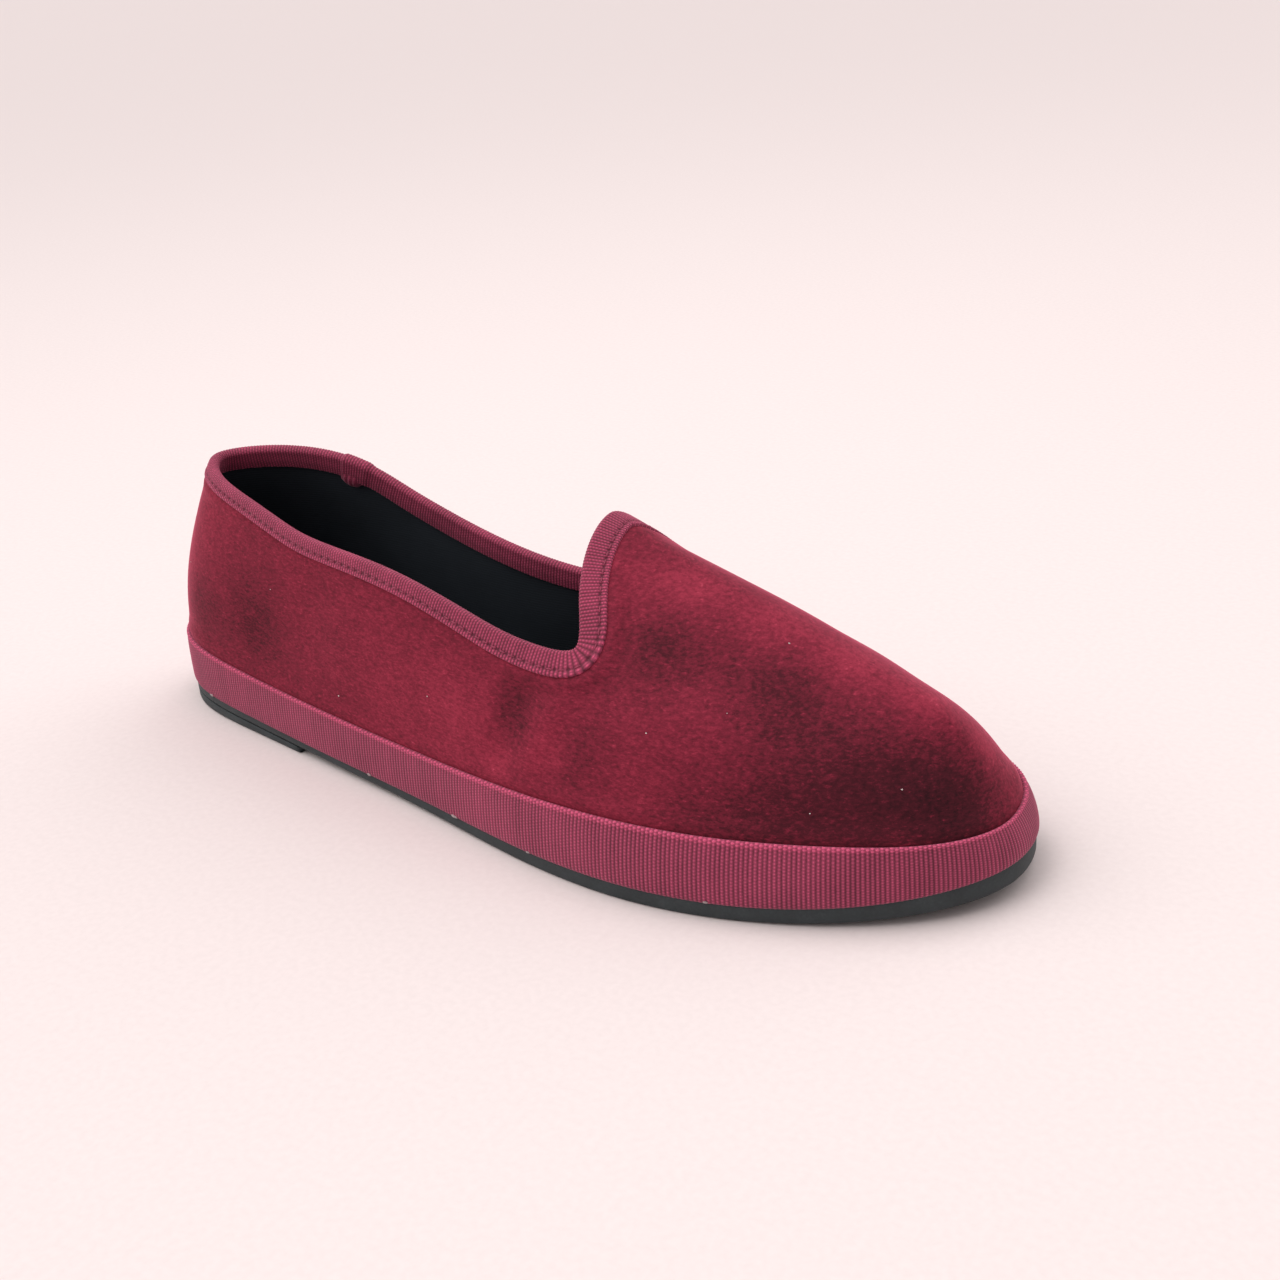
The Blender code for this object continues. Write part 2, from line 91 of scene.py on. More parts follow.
CROWN = (
    # place, height
    (0.05, 1.065),
    (0.40, 1.240),
    (0.52, 1.090),
    (0.64, 0.900),
    (0.76, 0.738),
    (0.86, 0.606),
    (0.94, 0.480),
    (1.00, 0.270),
)
SOLE_EDGE = (
    # place, rubber, band
    (0.00, 0.80, 0.92),
    (0.35, 0.70, 0.80),
    (0.70, 1.15, 0.96),
    (0.90, 1.25, 0.80),
    (1.00, 1.60, 0.50),
)
COLLAR = (
    # place, lateral height, medial height, binding's width outside
    (0.000, 1.020, 1.020, 0.58),
    (0.093, 0.975, 1.018, 0.58),
    (0.250, 0.882, 0.872, 0.62),
    (0.374, 0.850, 0.738, 0.68),
    (0.494, 0.765, 0.658, 0.76),
    (0.569, 0.718, 0.642, 0.88),
    (0.618, 0.728, 0.670, 0.95),
    (0.603, 0.865, 0.815, 1.00),
)

# The ridge's shift to the medial side, as a share of BALL_WIDTH, and how round the plan is there
RIDGE = (
    # place, shift, power
    (0.000, 0.000, 2.10),
    (0.300, 0.005, 2.00),
    (0.573, 0.015, 1.60),
    (0.800, 0.010, 1.85),
    (1.000, 0.000, 2.10),
)
DIP_FROM = 0.72
DIP_TO = 0.90
HEEL_CROWDING = 1.3
FOOT_SPREAD = 0.7
COLUMN_BEND = 2.2
BEND_HEIGHT_SHARE = 1.5
LAP_THICKNESS_SHARE = 0.5
FIRST_RISE = 0.8
RISE_ROUNDS = 6
SLIDE_STRIDES = 3
PROBE = 0.0005
RIGHT_ANGLE = math.pi / 2

# Angle in degrees over which the two suns spread their light
SUN_SPREAD = 60.0

# How finely the cloth is divided
QUARTER_COLUMNS = 96
DIP_COLUMNS = 56
TONGUE_COLUMNS = 36
RIDGE_COLUMNS = 64
WALL_ROWS = 52
POINTS_A_RIB = 4
PATH_SAMPLES = 900
EDGE_SAMPLES = 260

# Weave and stitches
BAND_RIB = 1.05 * MM
BAND_RIB_DEPTH = 0.16 * MM
BAND_TUCK = 0.15 * MM
BAND_SINK = 0.2 * MM
# How much lighter the band's beaded top edge is painted, a painted highlight
BEAD_PAINTED_HIGHLIGHT = 0.60
RIB_MIDDLE = 0.6
BINDING_RIB = 0.85 * MM
BINDING_RIB_DEPTH = 0.13 * MM
BINDING_STAND = 0.74 * MM
EDGE_WALL = 1.5 * MM
WEFT = 0.80 * MM
STITCH_PITCH = 2.6 * MM
STITCH_LENGTH = 1.7 * MM
STITCH_RADIUS = 0.20 * MM
STITCH_LINE = 1.7 * MM
STITCH_GROOVE = 0.13 * MM
GROOVE_WIDTH = 0.45 * MM
SELVEDGE_BEAD = 0.06 * MM
RUCK_HEIGHT = 0.10 * MM
NEEDLE_RADIUS = 0.36 * MM
NEEDLE_DEPTH = 0.16 * MM
# How much darker the needle holes are painted, as painted shade
NEEDLE_SHADE = 0.7
BEND_SPAN = 4.0 * MM

# How the velvet swells beside the ribbons and sinks at the heel's seam, and the other soft forms
EDGE_PUFF = 0.45 * MM
EDGE_SINK = 0.10 * MM
FOOT_PUFF = 0.55 * MM
SEAM_DEPTH = 0.55 * MM
SEAM_WIDTH = 0.75 * MM
SEAM_LIPS = 0.22 * MM
SEAM_WANDER = 0.35 * MM
PUCKER_PITCH = 3.1 * MM
FOLDS_INSIDE = 0.6
DISH_DEPTH = 0.9 * MM
TUCK_PLEATS = 4.5

# Soft troughs (negative) and ridges in the velvet, each along a line between two places
FOLDS = (
    # x, y, z from; x, y, z to, as shares of length, ball width and instep height; width, height in mm
    (0.20, -0.30, 0.46, 0.27, -0.30, 0.52, 11.0, -0.9),
    (0.12, -0.26, 0.60, 0.24, -0.29, 0.70, 9.0, 0.5),
    (0.555, -0.45, 0.36, 0.575, -0.41, 0.54, 5.5, -0.9),
    (0.59, -0.46, 0.36, 0.61, -0.42, 0.52, 4.5, 0.6),
    (0.62, -0.44, 0.42, 0.65, -0.38, 0.58, 6.0, -0.5),
    (0.66, -0.22, 0.76, 0.70, -0.30, 0.68, 9.0, -0.7),
    (0.76, -0.20, 0.66, 0.82, -0.24, 0.58, 10.0, -0.7),
    (0.72, -0.38, 0.55, 0.80, -0.34, 0.50, 9.0, 0.5),
    (0.90, -0.22, 0.42, 0.93, -0.14, 0.46, 8.0, -0.6),
    (0.60, -0.02, 0.97, 0.92, 0.01, 0.54, 5.0, 0.35),
    (0.20, 0.30, 0.50, 0.30, 0.30, 0.42, 11.0, -0.8),
    (0.42, 0.29, 0.42, 0.50, 0.30, 0.52, 9.0, -0.9),
    (0.55, 0.36, 0.46, 0.60, 0.34, 0.66, 6.5, -0.8),
    (0.60, 0.39, 0.44, 0.64, 0.36, 0.60, 5.0, 0.5),
    (0.70, 0.26, 0.68, 0.78, 0.24, 0.60, 9.0, -0.6),
    (0.84, 0.30, 0.44, 0.88, 0.22, 0.50, 8.0, -0.5),
)

# Where the pile is brushed dark (negative) or bright, as soft spots, mixed with painted light: painted
# highlights along the ridge, heel edge and toe rim, and painted shade below the binding's dip, in the
# waist's folds and on the lower toe
NAP_AND_PAINTED_LIGHT = (
    # x, y, z as shares of length, ball width and instep height; radius in mm; shade
    (0.10, -0.17, 0.80, 12.0, 0.30),
    (0.05, -0.15, 0.62, 9.0, 0.40),
    (0.185, -0.28, 0.48, 12.0, -0.60),
    (0.085, -0.225, 0.46, 9.0, -0.50),
    (0.28, -0.31, 0.55, 18.0, 0.15),
    (0.42, -0.38, 0.45, 20.0, 0.35),
    (0.50, -0.42, 0.42, 12.0, 0.40),
    (0.572, -0.41, 0.53, 5.0, -0.45),
    (0.565, -0.44, 0.43, 5.5, -0.45),
    (0.555, -0.455, 0.33, 6.0, 0.45),
    (0.612, -0.455, 0.41, 6.5, 0.55),
    (0.645, -0.46, 0.40, 8.0, -0.40),
    (0.685, -0.225, 0.735, 7.0, -0.50),
    (0.72, -0.27, 0.68, 10.0, -0.20),
    (0.64, -0.12, 0.86, 10.0, 0.35),
    (0.69, -0.04, 0.82, 9.0, 0.60),
    (0.76, -0.02, 0.74, 9.0, 0.65),
    (0.83, 0.00, 0.64, 9.0, 0.70),
    (0.90, 0.02, 0.54, 8.0, 0.75),
    (0.95, 0.07, 0.42, 6.0, 0.80),
    (0.80, -0.19, 0.61, 13.0, -0.58),
    (0.86, -0.28, 0.47, 14.0, -0.25),
    (0.915, -0.235, 0.36, 14.0, -0.80),
    (0.95, -0.12, 0.36, 11.0, -0.80),
    (0.965, -0.15, 0.24, 9.0, -0.60),
    (0.85, -0.37, 0.30, 14.0, -0.60),
    (0.78, -0.44, 0.30, 14.0, -0.45),
    (0.70, -0.44, 0.42, 14.0, 0.10),
    (0.76, -0.34, 0.56, 14.0, 0.15),
    (0.12, 0.25, 0.50, 16.0, -0.60),
    (0.28, 0.30, 0.50, 18.0, 0.25),
    (0.44, 0.28, 0.50, 16.0, -0.70),
    (0.56, 0.36, 0.50, 12.0, 0.35),
    (0.62, 0.40, 0.52, 10.0, -0.40),
    (0.72, 0.30, 0.62, 16.0, 0.25),
    (0.80, 0.36, 0.40, 14.0, -0.60),
    (0.90, 0.24, 0.40, 12.0, -0.50),
    (0.02, 0.06, 0.50, 14.0, 0.35),
)

# Pale specks of dust on the velvet
DUST = (
    # side, turn, rise in degrees, size in mm
    (LATERAL, 0.381, 11.8, 0.60),
    (LATERAL, 0.469, 19.6, 0.42),
    (LATERAL, 0.546, 12.0, 0.38),
    (LATERAL, 0.639, 36.9, 0.46),
    (LATERAL, 0.720, 80.5, 0.50),
    (LATERAL, 0.838, 43.2, 0.50),
    (LATERAL, 0.300, 28.0, 0.32),
    (LATERAL, 0.590, 55.0, 0.32),
    (LATERAL, 0.690, 50.0, 0.28),
    (LATERAL, 0.760, 30.0, 0.34),
    (LATERAL, 0.130, 30.0, 0.34),
    (MEDIAL, 0.330, 30.0, 0.46),
    (MEDIAL, 0.450, 22.0, 0.34),
    (MEDIAL, 0.560, 40.0, 0.38),
    (MEDIAL, 0.700, 48.0, 0.42),
    (MEDIAL, 0.820, 55.0, 0.34),
    (MEDIAL, 0.160, 40.0, 0.36),
)

# Smears of cement along the band's lower edge
CEMENT = (
    # side, turn, length in mm, height in mm
    (LATERAL, 0.190, 2.0, 0.7),
    (LATERAL, 0.410, 1.6, 0.8),
    (LATERAL, 0.494, 2.6, 0.7),
    (LATERAL, 0.560, 1.4, 0.5),
    (LATERAL, 0.690, 1.2, 0.5),
    (MEDIAL, 0.240, 2.2, 0.7),
    (MEDIAL, 0.480, 1.8, 0.6),
    (MEDIAL, 0.700, 2.4, 0.6),
    (MEDIAL, 0.080, 2.0, 0.8),
)


def smooth_curve(places, values, level_start=False, level_end=False):
    """Cubic curve through the points, free at each end or level there."""
    places = np.asarray(places, float)
    values = np.asarray(values, float)
    steps = np.diff(places)
    slopes = np.diff(values) / steps
    size = len(places)
    system = np.zeros((size, size))
    right = np.zeros(size)
    system[0, 0] = 1.0
    system[-1, -1] = 1.0
    for row in range(1, size - 1):
        system[row, row - 1] = steps[row - 1]
        system[row, row] = 2 * (steps[row - 1] + steps[row])
        system[row, row + 1] = steps[row]
        right[row] = 6 * (slopes[row] - slopes[row - 1])
    if level_start:
        system[0, :2] = (2 * steps[0], steps[0])
        right[0] = 6 * slopes[0]
    if level_end:
        system[-1, -2:] = (steps[-1], 2 * steps[-1])
        right[-1] = -6 * slopes[-1]
    bends = np.linalg.solve(system, right)

    def at(place):
        place = np.asarray(place, float)
        span = np.clip(np.searchsorted(places, place, side="right") - 1, 0, size - 2)
        reach = place - places[span]
        step = steps[span]
        slope = slopes[span] - step * (2 * bends[span] + bends[span + 1]) / 6
        third = (bends[span + 1] - bends[span]) / (6 * step)
        return values[span] + reach * (slope + reach * (bends[span] / 2 + reach * third))

    return at


def turn_of(place):
    """Turn round the outline, 0 at the heel and 1 at the toe, for a share of the length."""
    return np.arccos(1 - 2 * np.asarray(place, float)) / np.pi


def outline_curve(column):
    """Half width of the sole band by turn, closed to nothing at heel and toe."""
    turns = [0.0] + [float(turn_of(row[0])) for row in OUTLINE] + [1.0]
    widths = [0.0] + [row[column] * BALL_WIDTH for row in OUTLINE] + [0.0]
    return smooth_curve(turns, widths)


def length_curve(table, column, size):
    """Value along the length from one column of a table of shares."""
    return smooth_curve([row[0] * LENGTH for row in table], [row[column] * size for row in table])


HALF_WIDTH = {LATERAL: outline_curve(1), MEDIAL: outline_curve(2)}
CROWN_CURVE = length_curve(CROWN, 1, INSTEP_HEIGHT)
RIDGE_CURVE = length_curve(RIDGE, 1, BALL_WIDTH)
PLAN_POWER_CURVE = length_curve(RIDGE, 2, 1.0)
RUBBER_CURVE = length_curve(SOLE_EDGE, 1, RUBBER_THICKNESS)
BAND_CURVE = length_curve(SOLE_EDGE, 2, BAND_HEIGHT)


def under(x):
    """Height of the outsole's underside."""
    arch = np.clip((FLAT_FROM - x / LENGTH) / FLAT_FROM, 0, None)
    spring = np.clip((x / LENGTH - FLAT_TO) / (1 - FLAT_TO), 0, None)
    return HEEL_RISE * arch ** ARCH_POWER + TOE_SPRING * spring ** SPRING_POWER


def sole_top(x):
    """Height of the outsole's upper face."""
    return under(x) + RUBBER_CURVE(x)


def seat(x):
    """Height at which band, upper and insole stand over the outsole."""
    return sole_top(x) + GAP


def fold(side, turn, rise):
    """Name a place past the heel, the toe or the ridge by the other side of the shoe."""
    side = np.where(turn < 0, -side, side)
    turn = np.abs(turn)
    side = np.where(turn > 1, -side, side)
    turn = np.where(turn > 1, 2 - turn, turn)
    side = np.where(rise > RIGHT_ANGLE, -side, side)
    rise = np.where(rise > RIGHT_ANGLE, math.pi - rise, rise)
    return side, turn, rise


def outline(side, turn, set_back=0.0):
    """Plan of the sole band's outer face, moved inwards by the set-back."""

    def plan(at):
        width = np.where(side < 0, HALF_WIDTH[LATERAL](at), HALF_WIDTH[MEDIAL](at))
        return np.stack([LENGTH * (1 - np.cos(np.pi * at)) / 2, side * width], -1)

    tangent = plan(turn + PROBE) - plan(turn - PROBE)
    tangent = tangent / np.linalg.norm(tangent, axis=-1, keepdims=True)
    inward = np.stack([tangent[..., 1], -tangent[..., 0]], -1) * np.asarray(side)[..., None]
    return plan(turn) + inward * set_back


def skin(side, turn, rise):
    """Outer face of the upper: rise is an angle, 0 at the sole and a right angle on the ridge."""
    side, turn, rise = fold(*np.broadcast_arrays(side, turn, rise))
    foot = outline(side, turn, BAND_THICKNESS + GAP)
    share = (1 - np.cos(np.pi * turn)) / 2
    run = LENGTH - TOE_SPINE - HEEL_SPINE
    spine = np.stack([HEEL_SPINE + run * share, RIDGE_CURVE(share * LENGTH)], -1)
    spread = foot - spine
    power = PLAN_POWER_CURVE(share * LENGTH)
    plan = spine + spread * (np.cos(rise) ** (2 / power))[..., None]
    climb = np.sin(rise) ** (2 / CROWN_POWER)
    height = (CROWN_CURVE(plan[..., 0]) - seat(plan[..., 0])) * climb
    swell = HEEL_SWELL * np.sin(np.pi * np.clip(height / SWELL_HEIGHT, 0, 1)) ** 2
    swell = swell * np.clip(1 - share / SWELL_SHARE, 0, None) ** 2
    outward = spread / np.linalg.norm(spread, axis=-1, keepdims=True)
    base = seat(plan[..., 0])
    plan = plan + outward * swell[..., None]
    return np.concatenate([plan, (base + height)[..., None]], -1)


def slopes_at(side, turn, rise):
    """How the outer face runs for a small change of turn and of rise."""
    rise = np.maximum(rise, 4 * PROBE)
    rise = np.where(np.abs(rise - RIGHT_ANGLE) < 4 * PROBE, RIGHT_ANGLE - 4 * PROBE, rise)
    by_turn = skin(side, turn + PROBE, rise) - skin(side, turn - PROBE, rise)
    by_rise = skin(side, turn, rise + PROBE) - skin(side, turn, rise - PROBE)
    return by_turn / (2 * PROBE), by_rise / (2 * PROBE)


def unit(vectors):
    """Vectors brought to length one."""
    return vectors / np.linalg.norm(vectors, axis=-1, keepdims=True)


def facing(side, turn, rise):
    """Outward unit normal of the outer face."""
    by_turn, by_rise = slopes_at(side, turn, rise)
    return unit(np.cross(by_turn, by_rise) * -np.asarray(side, float)[..., None])


def offset_skin(side, turn, rise, distance):
    """The outer face moved outwards, or inwards where the distance or distances are negative."""
    side, turn, rise = np.broadcast_arrays(side, turn, rise)
    return skin(side, turn, rise) + facing(side, turn, rise) * np.asarray(distance)[..., None]


def rise_at(side, turn, height):
    """Rise at which the outer face stands at a height over the floor."""
    side, turn, height = np.broadcast_arrays(side, turn, height)
    rise = np.full(turn.shape, FIRST_RISE)
    for _ in range(RISE_ROUNDS):
        x = skin(side, turn, rise)[..., 0]
        climb = np.clip((height - seat(x)) / (CROWN_CURVE(x) - seat(x)), 0, 1)
        rise = np.arcsin(climb ** (CROWN_POWER / 2))
    return rise


def slide(side, turn, rise, heading, distance):
    """Turn and rise a distance away over the outer face, in the heading given at each place."""
    for _ in range(SLIDE_STRIDES):
        by_turn, by_rise = slopes_at(side, turn, rise)
        move = heading * distance / SLIDE_STRIDES
        a = np.sum(by_turn * by_turn, -1)
        b = np.sum(by_turn * by_rise, -1)
        c = np.sum(by_rise * by_rise, -1)
        d = np.sum(by_turn * move, -1)
        e = np.sum(by_rise * move, -1)
        bottom = a * c - b * b
        turn = turn + (d * c - e * b) / bottom
        rise = rise + (e * a - d * b) / bottom
    return turn, rise


def collar_edge(side):
    """Turn, rise and binding's width along the top edge, from the heel's middle to the peak."""
    column = 1 if side == LATERAL else 2
    turns = [float(turn_of(row[0])) for row in COLLAR]
    heights = [row[column] * HEEL_HEIGHT for row in COLLAR]
    rises = rise_at(np.full(len(turns), side), np.array(turns), np.array(heights))
    turns = np.append(turns, turn_of(TONGUE_SHARE))
    rises = np.append(rises, RIGHT_ANGLE)
    corners = skin(np.full(len(turns), side), turns, rises)
    strides = np.linalg.norm(np.diff(corners, axis=0), axis=1)
    places = np.concatenate([[0.0], np.cumsum(strides)]) / strides.sum()
    turn_curve = smooth_curve(places, turns, level_end=True)
    rise_curve = smooth_curve(places, rises, level_start=True)
    widths = [row[3] * BINDING_OUTSIDE for row in COLLAR] + [BINDING_OUTSIDE]
    return turn_curve, rise_curve, smooth_curve(places, widths, level_start=True)


EDGE_CURVES = {side: collar_edge(side) for side in (LATERAL, MEDIAL)}


def edge_points(side, places):
    """Points of the upper's top edge at shares of its length."""
    turn_curve, rise_curve, _ = EDGE_CURVES[side]
    return skin(np.full(places.shape, side), turn_curve(places), rise_curve(places))


def collar_places():
    """Places along the top edge, closer together at the heel's seam and beside the tongue."""
    quarter = DIP_FROM * np.linspace(0, 1, QUARTER_COLUMNS + 1) ** HEEL_CROWDING
    dip = np.linspace(DIP_FROM, DIP_TO, DIP_COLUMNS + 1)
    tongue = np.linspace(DIP_TO, 1, TONGUE_COLUMNS + 1)
    return np.concatenate([quarter, dip[1:], tongue[1:]])


def wall_columns(side):
    """Turn and rise of the grid on one side: columns from heel to toe, rows from sole to top."""
    places = collar_places()
    edge_turns, edge_rises, _ = (curve(places) for curve in EDGE_CURVES[side])
    dip = int(np.argmax(edge_turns))
    foot_turns = edge_turns.copy()
    peak_foot = float(turn_of(TONGUE_FOOT_SHARE))
    past_dip = (places[dip:] - places[dip]) / (1 - places[dip])
    foot_turns[dip:] = edge_turns[dip] + (peak_foot - edge_turns[dip]) * past_dip ** FOOT_SPREAD
    onward = np.linspace(0, 1, RIDGE_COLUMNS + 1)[1:]
    peak_turn = edge_turns[-1]
    edge_turns = np.concatenate([edge_turns, peak_turn + (1 - peak_turn) * onward])
    edge_rises = np.concatenate([edge_rises, np.full(RIDGE_COLUMNS, RIGHT_ANGLE)])
    foot_turns = np.concatenate([foot_turns, peak_foot + (1 - peak_foot) * onward])
    rows = np.linspace(0, 1, WALL_ROWS + 1)
    turns = foot_turns[:, None] + (edge_turns - foot_turns)[:, None] * rows ** COLUMN_BEND
    rises = edge_rises[:, None] * rows
    return turns, rises


def sole_shift():
    """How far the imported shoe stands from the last's own coordinates, read from the outsole's tip."""
    corners = np.array([tuple(vertex.co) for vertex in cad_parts["outsole"].data.vertices])
    tip = corners[np.argmax(corners[:, 0])]
    return np.array([tip[0] - (LENGTH - OUTSOLE_SET_BACK), tip[1], 0.0])


SHIFT = sole_shift()


def shoe_place(x_share, y_share, z_share):
    """Point in the last's coordinates from shares of its length, ball width and instep height."""
    return np.array([x_share * LENGTH, y_share * BALL_WIDTH, z_share * INSTEP_HEIGHT])


def bell(distance, width):
    """Soft bump of height one that dies away over the width."""
    return np.exp(-((distance / width) ** 2))


def ease(low, high, value):
    """Smooth step from 0 below the low value to 1 above the high one."""
    share = np.clip((value - low) / (high - low), 0, 1)
    return share * share * (3 - 2 * share)


def lengths_along(points):
    """How far each point lies along a run of points."""
    strides = np.linalg.norm(np.diff(points, axis=0), axis=1)
    return np.concatenate([[0.0], np.cumsum(strides)])


def foot_loop(count):
    """Sides and turns once round the sole at equal distances, out lateral and home medial."""

    def once_round(turns):
        return fold(np.full(turns.shape, LATERAL), turns, 0 * turns)[:2]

    samples = np.linspace(0, 2, 2 * PATH_SAMPLES)
    lengths = lengths_along(outline(*once_round(samples)))
    even = np.interp(np.arange(count) / count * lengths[-1], lengths, samples)
    return *once_round(even), lengths[-1]


def collar_loop(rib):
    """Side, turn, rise, strip's width and length so far round the collar, and the whole length."""
    places = np.linspace(0, 1, PATH_SAMPLES)
    lengths = {side: lengths_along(edge_points(side, places)) for side in EDGE_CURVES}
    whole = lengths[LATERAL][-1] + lengths[MEDIAL][-1]
    ribs = int(round(whole / rib))
    at = np.arange(ribs * POINTS_A_RIB) / (ribs * POINTS_A_RIB) * whole
    side = np.where(at < lengths[LATERAL][-1], LATERAL, MEDIAL)
    turn, rise, width = np.zeros((3, len(at)))
    for which, curves in EDGE_CURVES.items():
        here = side == which
        along = at[here] if which == LATERAL else whole - at[here]
        place = np.interp(along, lengths[which], places)
        turn[here], rise[here], width[here] = (curve(place) for curve in curves)
    return side, turn, rise, width, at, whole


def hoops(count, size, start=0):
    """Faces between closed rings of points that are numbered one ring after the other."""
    faces = []
    for low in range(start, start + (count - 1) * size, size):
        high = low + size
        for spot in range(size):
            after = (spot + 1) % size
            faces.append((low + spot, low + after, high + after, high + spot))
    return faces


def new_piece(name, points, faces, materials, face_materials=None, uv=None):
    """Smooth closed mesh, facing outwards, that rides on the shoe, with its materials and slot."""
    mesh = bpy.data.meshes.new(name)
    mesh.from_pydata((np.asarray(points) + SHIFT).tolist(), [], faces)
    for material in materials:
        mesh.materials.append(material)
    if face_materials is not None:
        mesh.polygons.foreach_set("material_index", np.asarray(face_materials, np.int32))
    if uv is not None:
        layer = mesh.uv_layers.new(name="weave")
        layer.data.foreach_set("uv", np.asarray(uv, np.float32).ravel())
    mesh.shade_smooth()
    mesh.update()
    work = bmesh.new()
    work.from_mesh(mesh)
    bmesh.ops.recalc_face_normals(work, faces=work.faces)
    work.to_mesh(mesh)
    work.free()
    piece = bpy.data.objects.new(name, mesh)
    bpy.context.collection.objects.link(piece)
    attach(piece, "root")
    return piece


def paint(piece, name, values):
    """Store one number for each vertex, for the material to read."""
    layer = piece.data.attributes.new(name, "FLOAT", "POINT")
    layer.data.foreach_set("value", np.asarray(values, np.float32))


def ribbon(name, rows, at, whole, material):
    """Closed strip from rows of points, each with its span across and how light its ribs are painted,
    with painted highlight on the crests and painted shade in the valleys.
    """
    sections = np.stack([row[0] for row in rows], axis=1)
    across = np.stack([row[1] + 0 * at for row in rows], axis=1)
    rib_light_and_shade = np.stack([row[2] for row in rows], axis=1)
    columns, points, _ = sections.shape
    column = np.repeat(np.arange(columns), points)
    point = np.tile(np.arange(points), columns)
    after = (column + 1) % columns
    beside = (point + 1) % points
    faces = np.stack([
        column * points + point,
        column * points + beside,
        after * points + beside,
        after * points + point,
    ], axis=1)
    ends = np.append(at, whole)
    spans = np.pad(across, ((0, 1), (0, 1)), mode="wrap")
    uv = np.stack([
        np.stack([ends[column], spans[column, point]], -1),
        np.stack([ends[column], spans[column, point + 1]], -1),
        np.stack([ends[column + 1], spans[column + 1, point + 1]], -1),
        np.stack([ends[column + 1], spans[column + 1, point]], -1),
    ], axis=1)
    piece = new_piece(name, sections.reshape(-1, 3), faces.tolist(), [material], uv=uv)
    paint(piece, "crest", rib_light_and_shade.ravel())
    return piece


def plate(name, layers, material):
    """Body of closed rings one above the other, closed by a ladder of faces at both ends."""
    count, size, _ = layers.shape
    faces = []
    for ring in (0, count - 1):
        low, high = 0, size
        while low + 1 < high:
            rung = [low, low + 1, high - 1, high % size]
            faces.append(tuple(ring * size + spot for spot in dict.fromkeys(rung)))
            low += 1
            high -= 1
    faces += hoops(count, size)
    return new_piece(name, layers.reshape(-1, 3), faces, [material])


# Materials

class Shader:
    """Node tree of one material, with short ways of adding what all of them use."""

    def __init__(self, name, roughness, specular):
        self.material = bpy.data.materials.new(name)
        self.material.use_nodes = True
        self.tree = self.material.node_tree
        self.surface = self.tree.nodes["Principled BSDF"]
        self.surface.inputs["Roughness"].default_value = roughness
        self.surface.inputs["Specular IOR Level"].default_value = specular

    def add(self, kind, **settings):
        node = self.tree.nodes.new("ShaderNode" + kind)
        for key, value in settings.items():
            setattr(node, key, value)
        return node

    def join(self, source, target, spot):
        output = source if isinstance(source, bpy.types.NodeSocket) else source.outputs[0]
        self.tree.links.new(output, target.inputs[spot])

    def sheen(self, weight, roughness, tint):
        self.surface.inputs["Sheen Weight"].default_value = weight
        self.surface.inputs["Sheen Roughness"].default_value = roughness
        self.surface.inputs["Sheen Tint"].default_value = (*tint, 1.0)

    def place(self, stretch=(1.0, 1.0, 1.0), turn=0.0):
        space = self.add("TexCoord")
        move = self.add("Mapping")
        move.inputs["Rotation"].default_value = (0, 0, math.radians(turn))
        move.inputs["Scale"].default_value = stretch
        self.join(space.outputs["Object"], move, "Vector")
        return move

    def noise(self, scale, detail=3.0, stretch=(1.0, 1.0, 1.0), rough=0.5):
        node = self.add("TexNoise")
        node.inputs["Scale"].default_value = scale
        node.inputs["Detail"].default_value = detail
        node.inputs["Roughness"].default_value = rough
        self.join(self.place(stretch), node, "Vector")
        return node.outputs["Fac"]

    def maths(self, kind, first, second=0.0, third=0.0):
        node = self.add("Math", operation=kind)
        for spot, value in enumerate((first, second, third)):
            if isinstance(value, (int, float)):
                node.inputs[spot].default_value = value
            else:
                self.join(value, node, spot)
        return node.outputs[0]

    def stored(self, name):
        return self.add("Attribute", attribute_name=name).outputs["Fac"]

    def ramp(self, value, stops):
        node = self.add("ValToRGB")
        node.color_ramp.elements.remove(node.color_ramp.elements[1])
        node.color_ramp.elements[0].position = stops[0][0]
        node.color_ramp.elements[0].color = (*stops[0][1], 1.0)
        for spot, colour in stops[1:]:
            node.color_ramp.elements.new(spot).color = (*colour, 1.0)
        self.join(value, node, 0)
        return node.outputs["Color"]

    def vary(self, shade, value, strength):
        """Shade made lighter or darker as a value strays from its middle."""
        stray = self.maths("SUBTRACT", value, 0.5)
        return self.maths("MULTIPLY_ADD", stray, strength, shade)

    def colour(self, value, stops):
        self.join(self.ramp(value, stops), self.surface, "Base Color")

    def relief(self, normal):
        self.join(normal, self.surface, "Normal")

    def bump(self, height, strength, distance, over=None):
        node = self.add("Bump")
        node.inputs["Strength"].default_value = strength
        node.inputs["Distance"].default_value = distance
        self.join(height, node, "Height")
        if over is not None:
            self.join(over, node, "Normal")
        return node.outputs["Normal"]


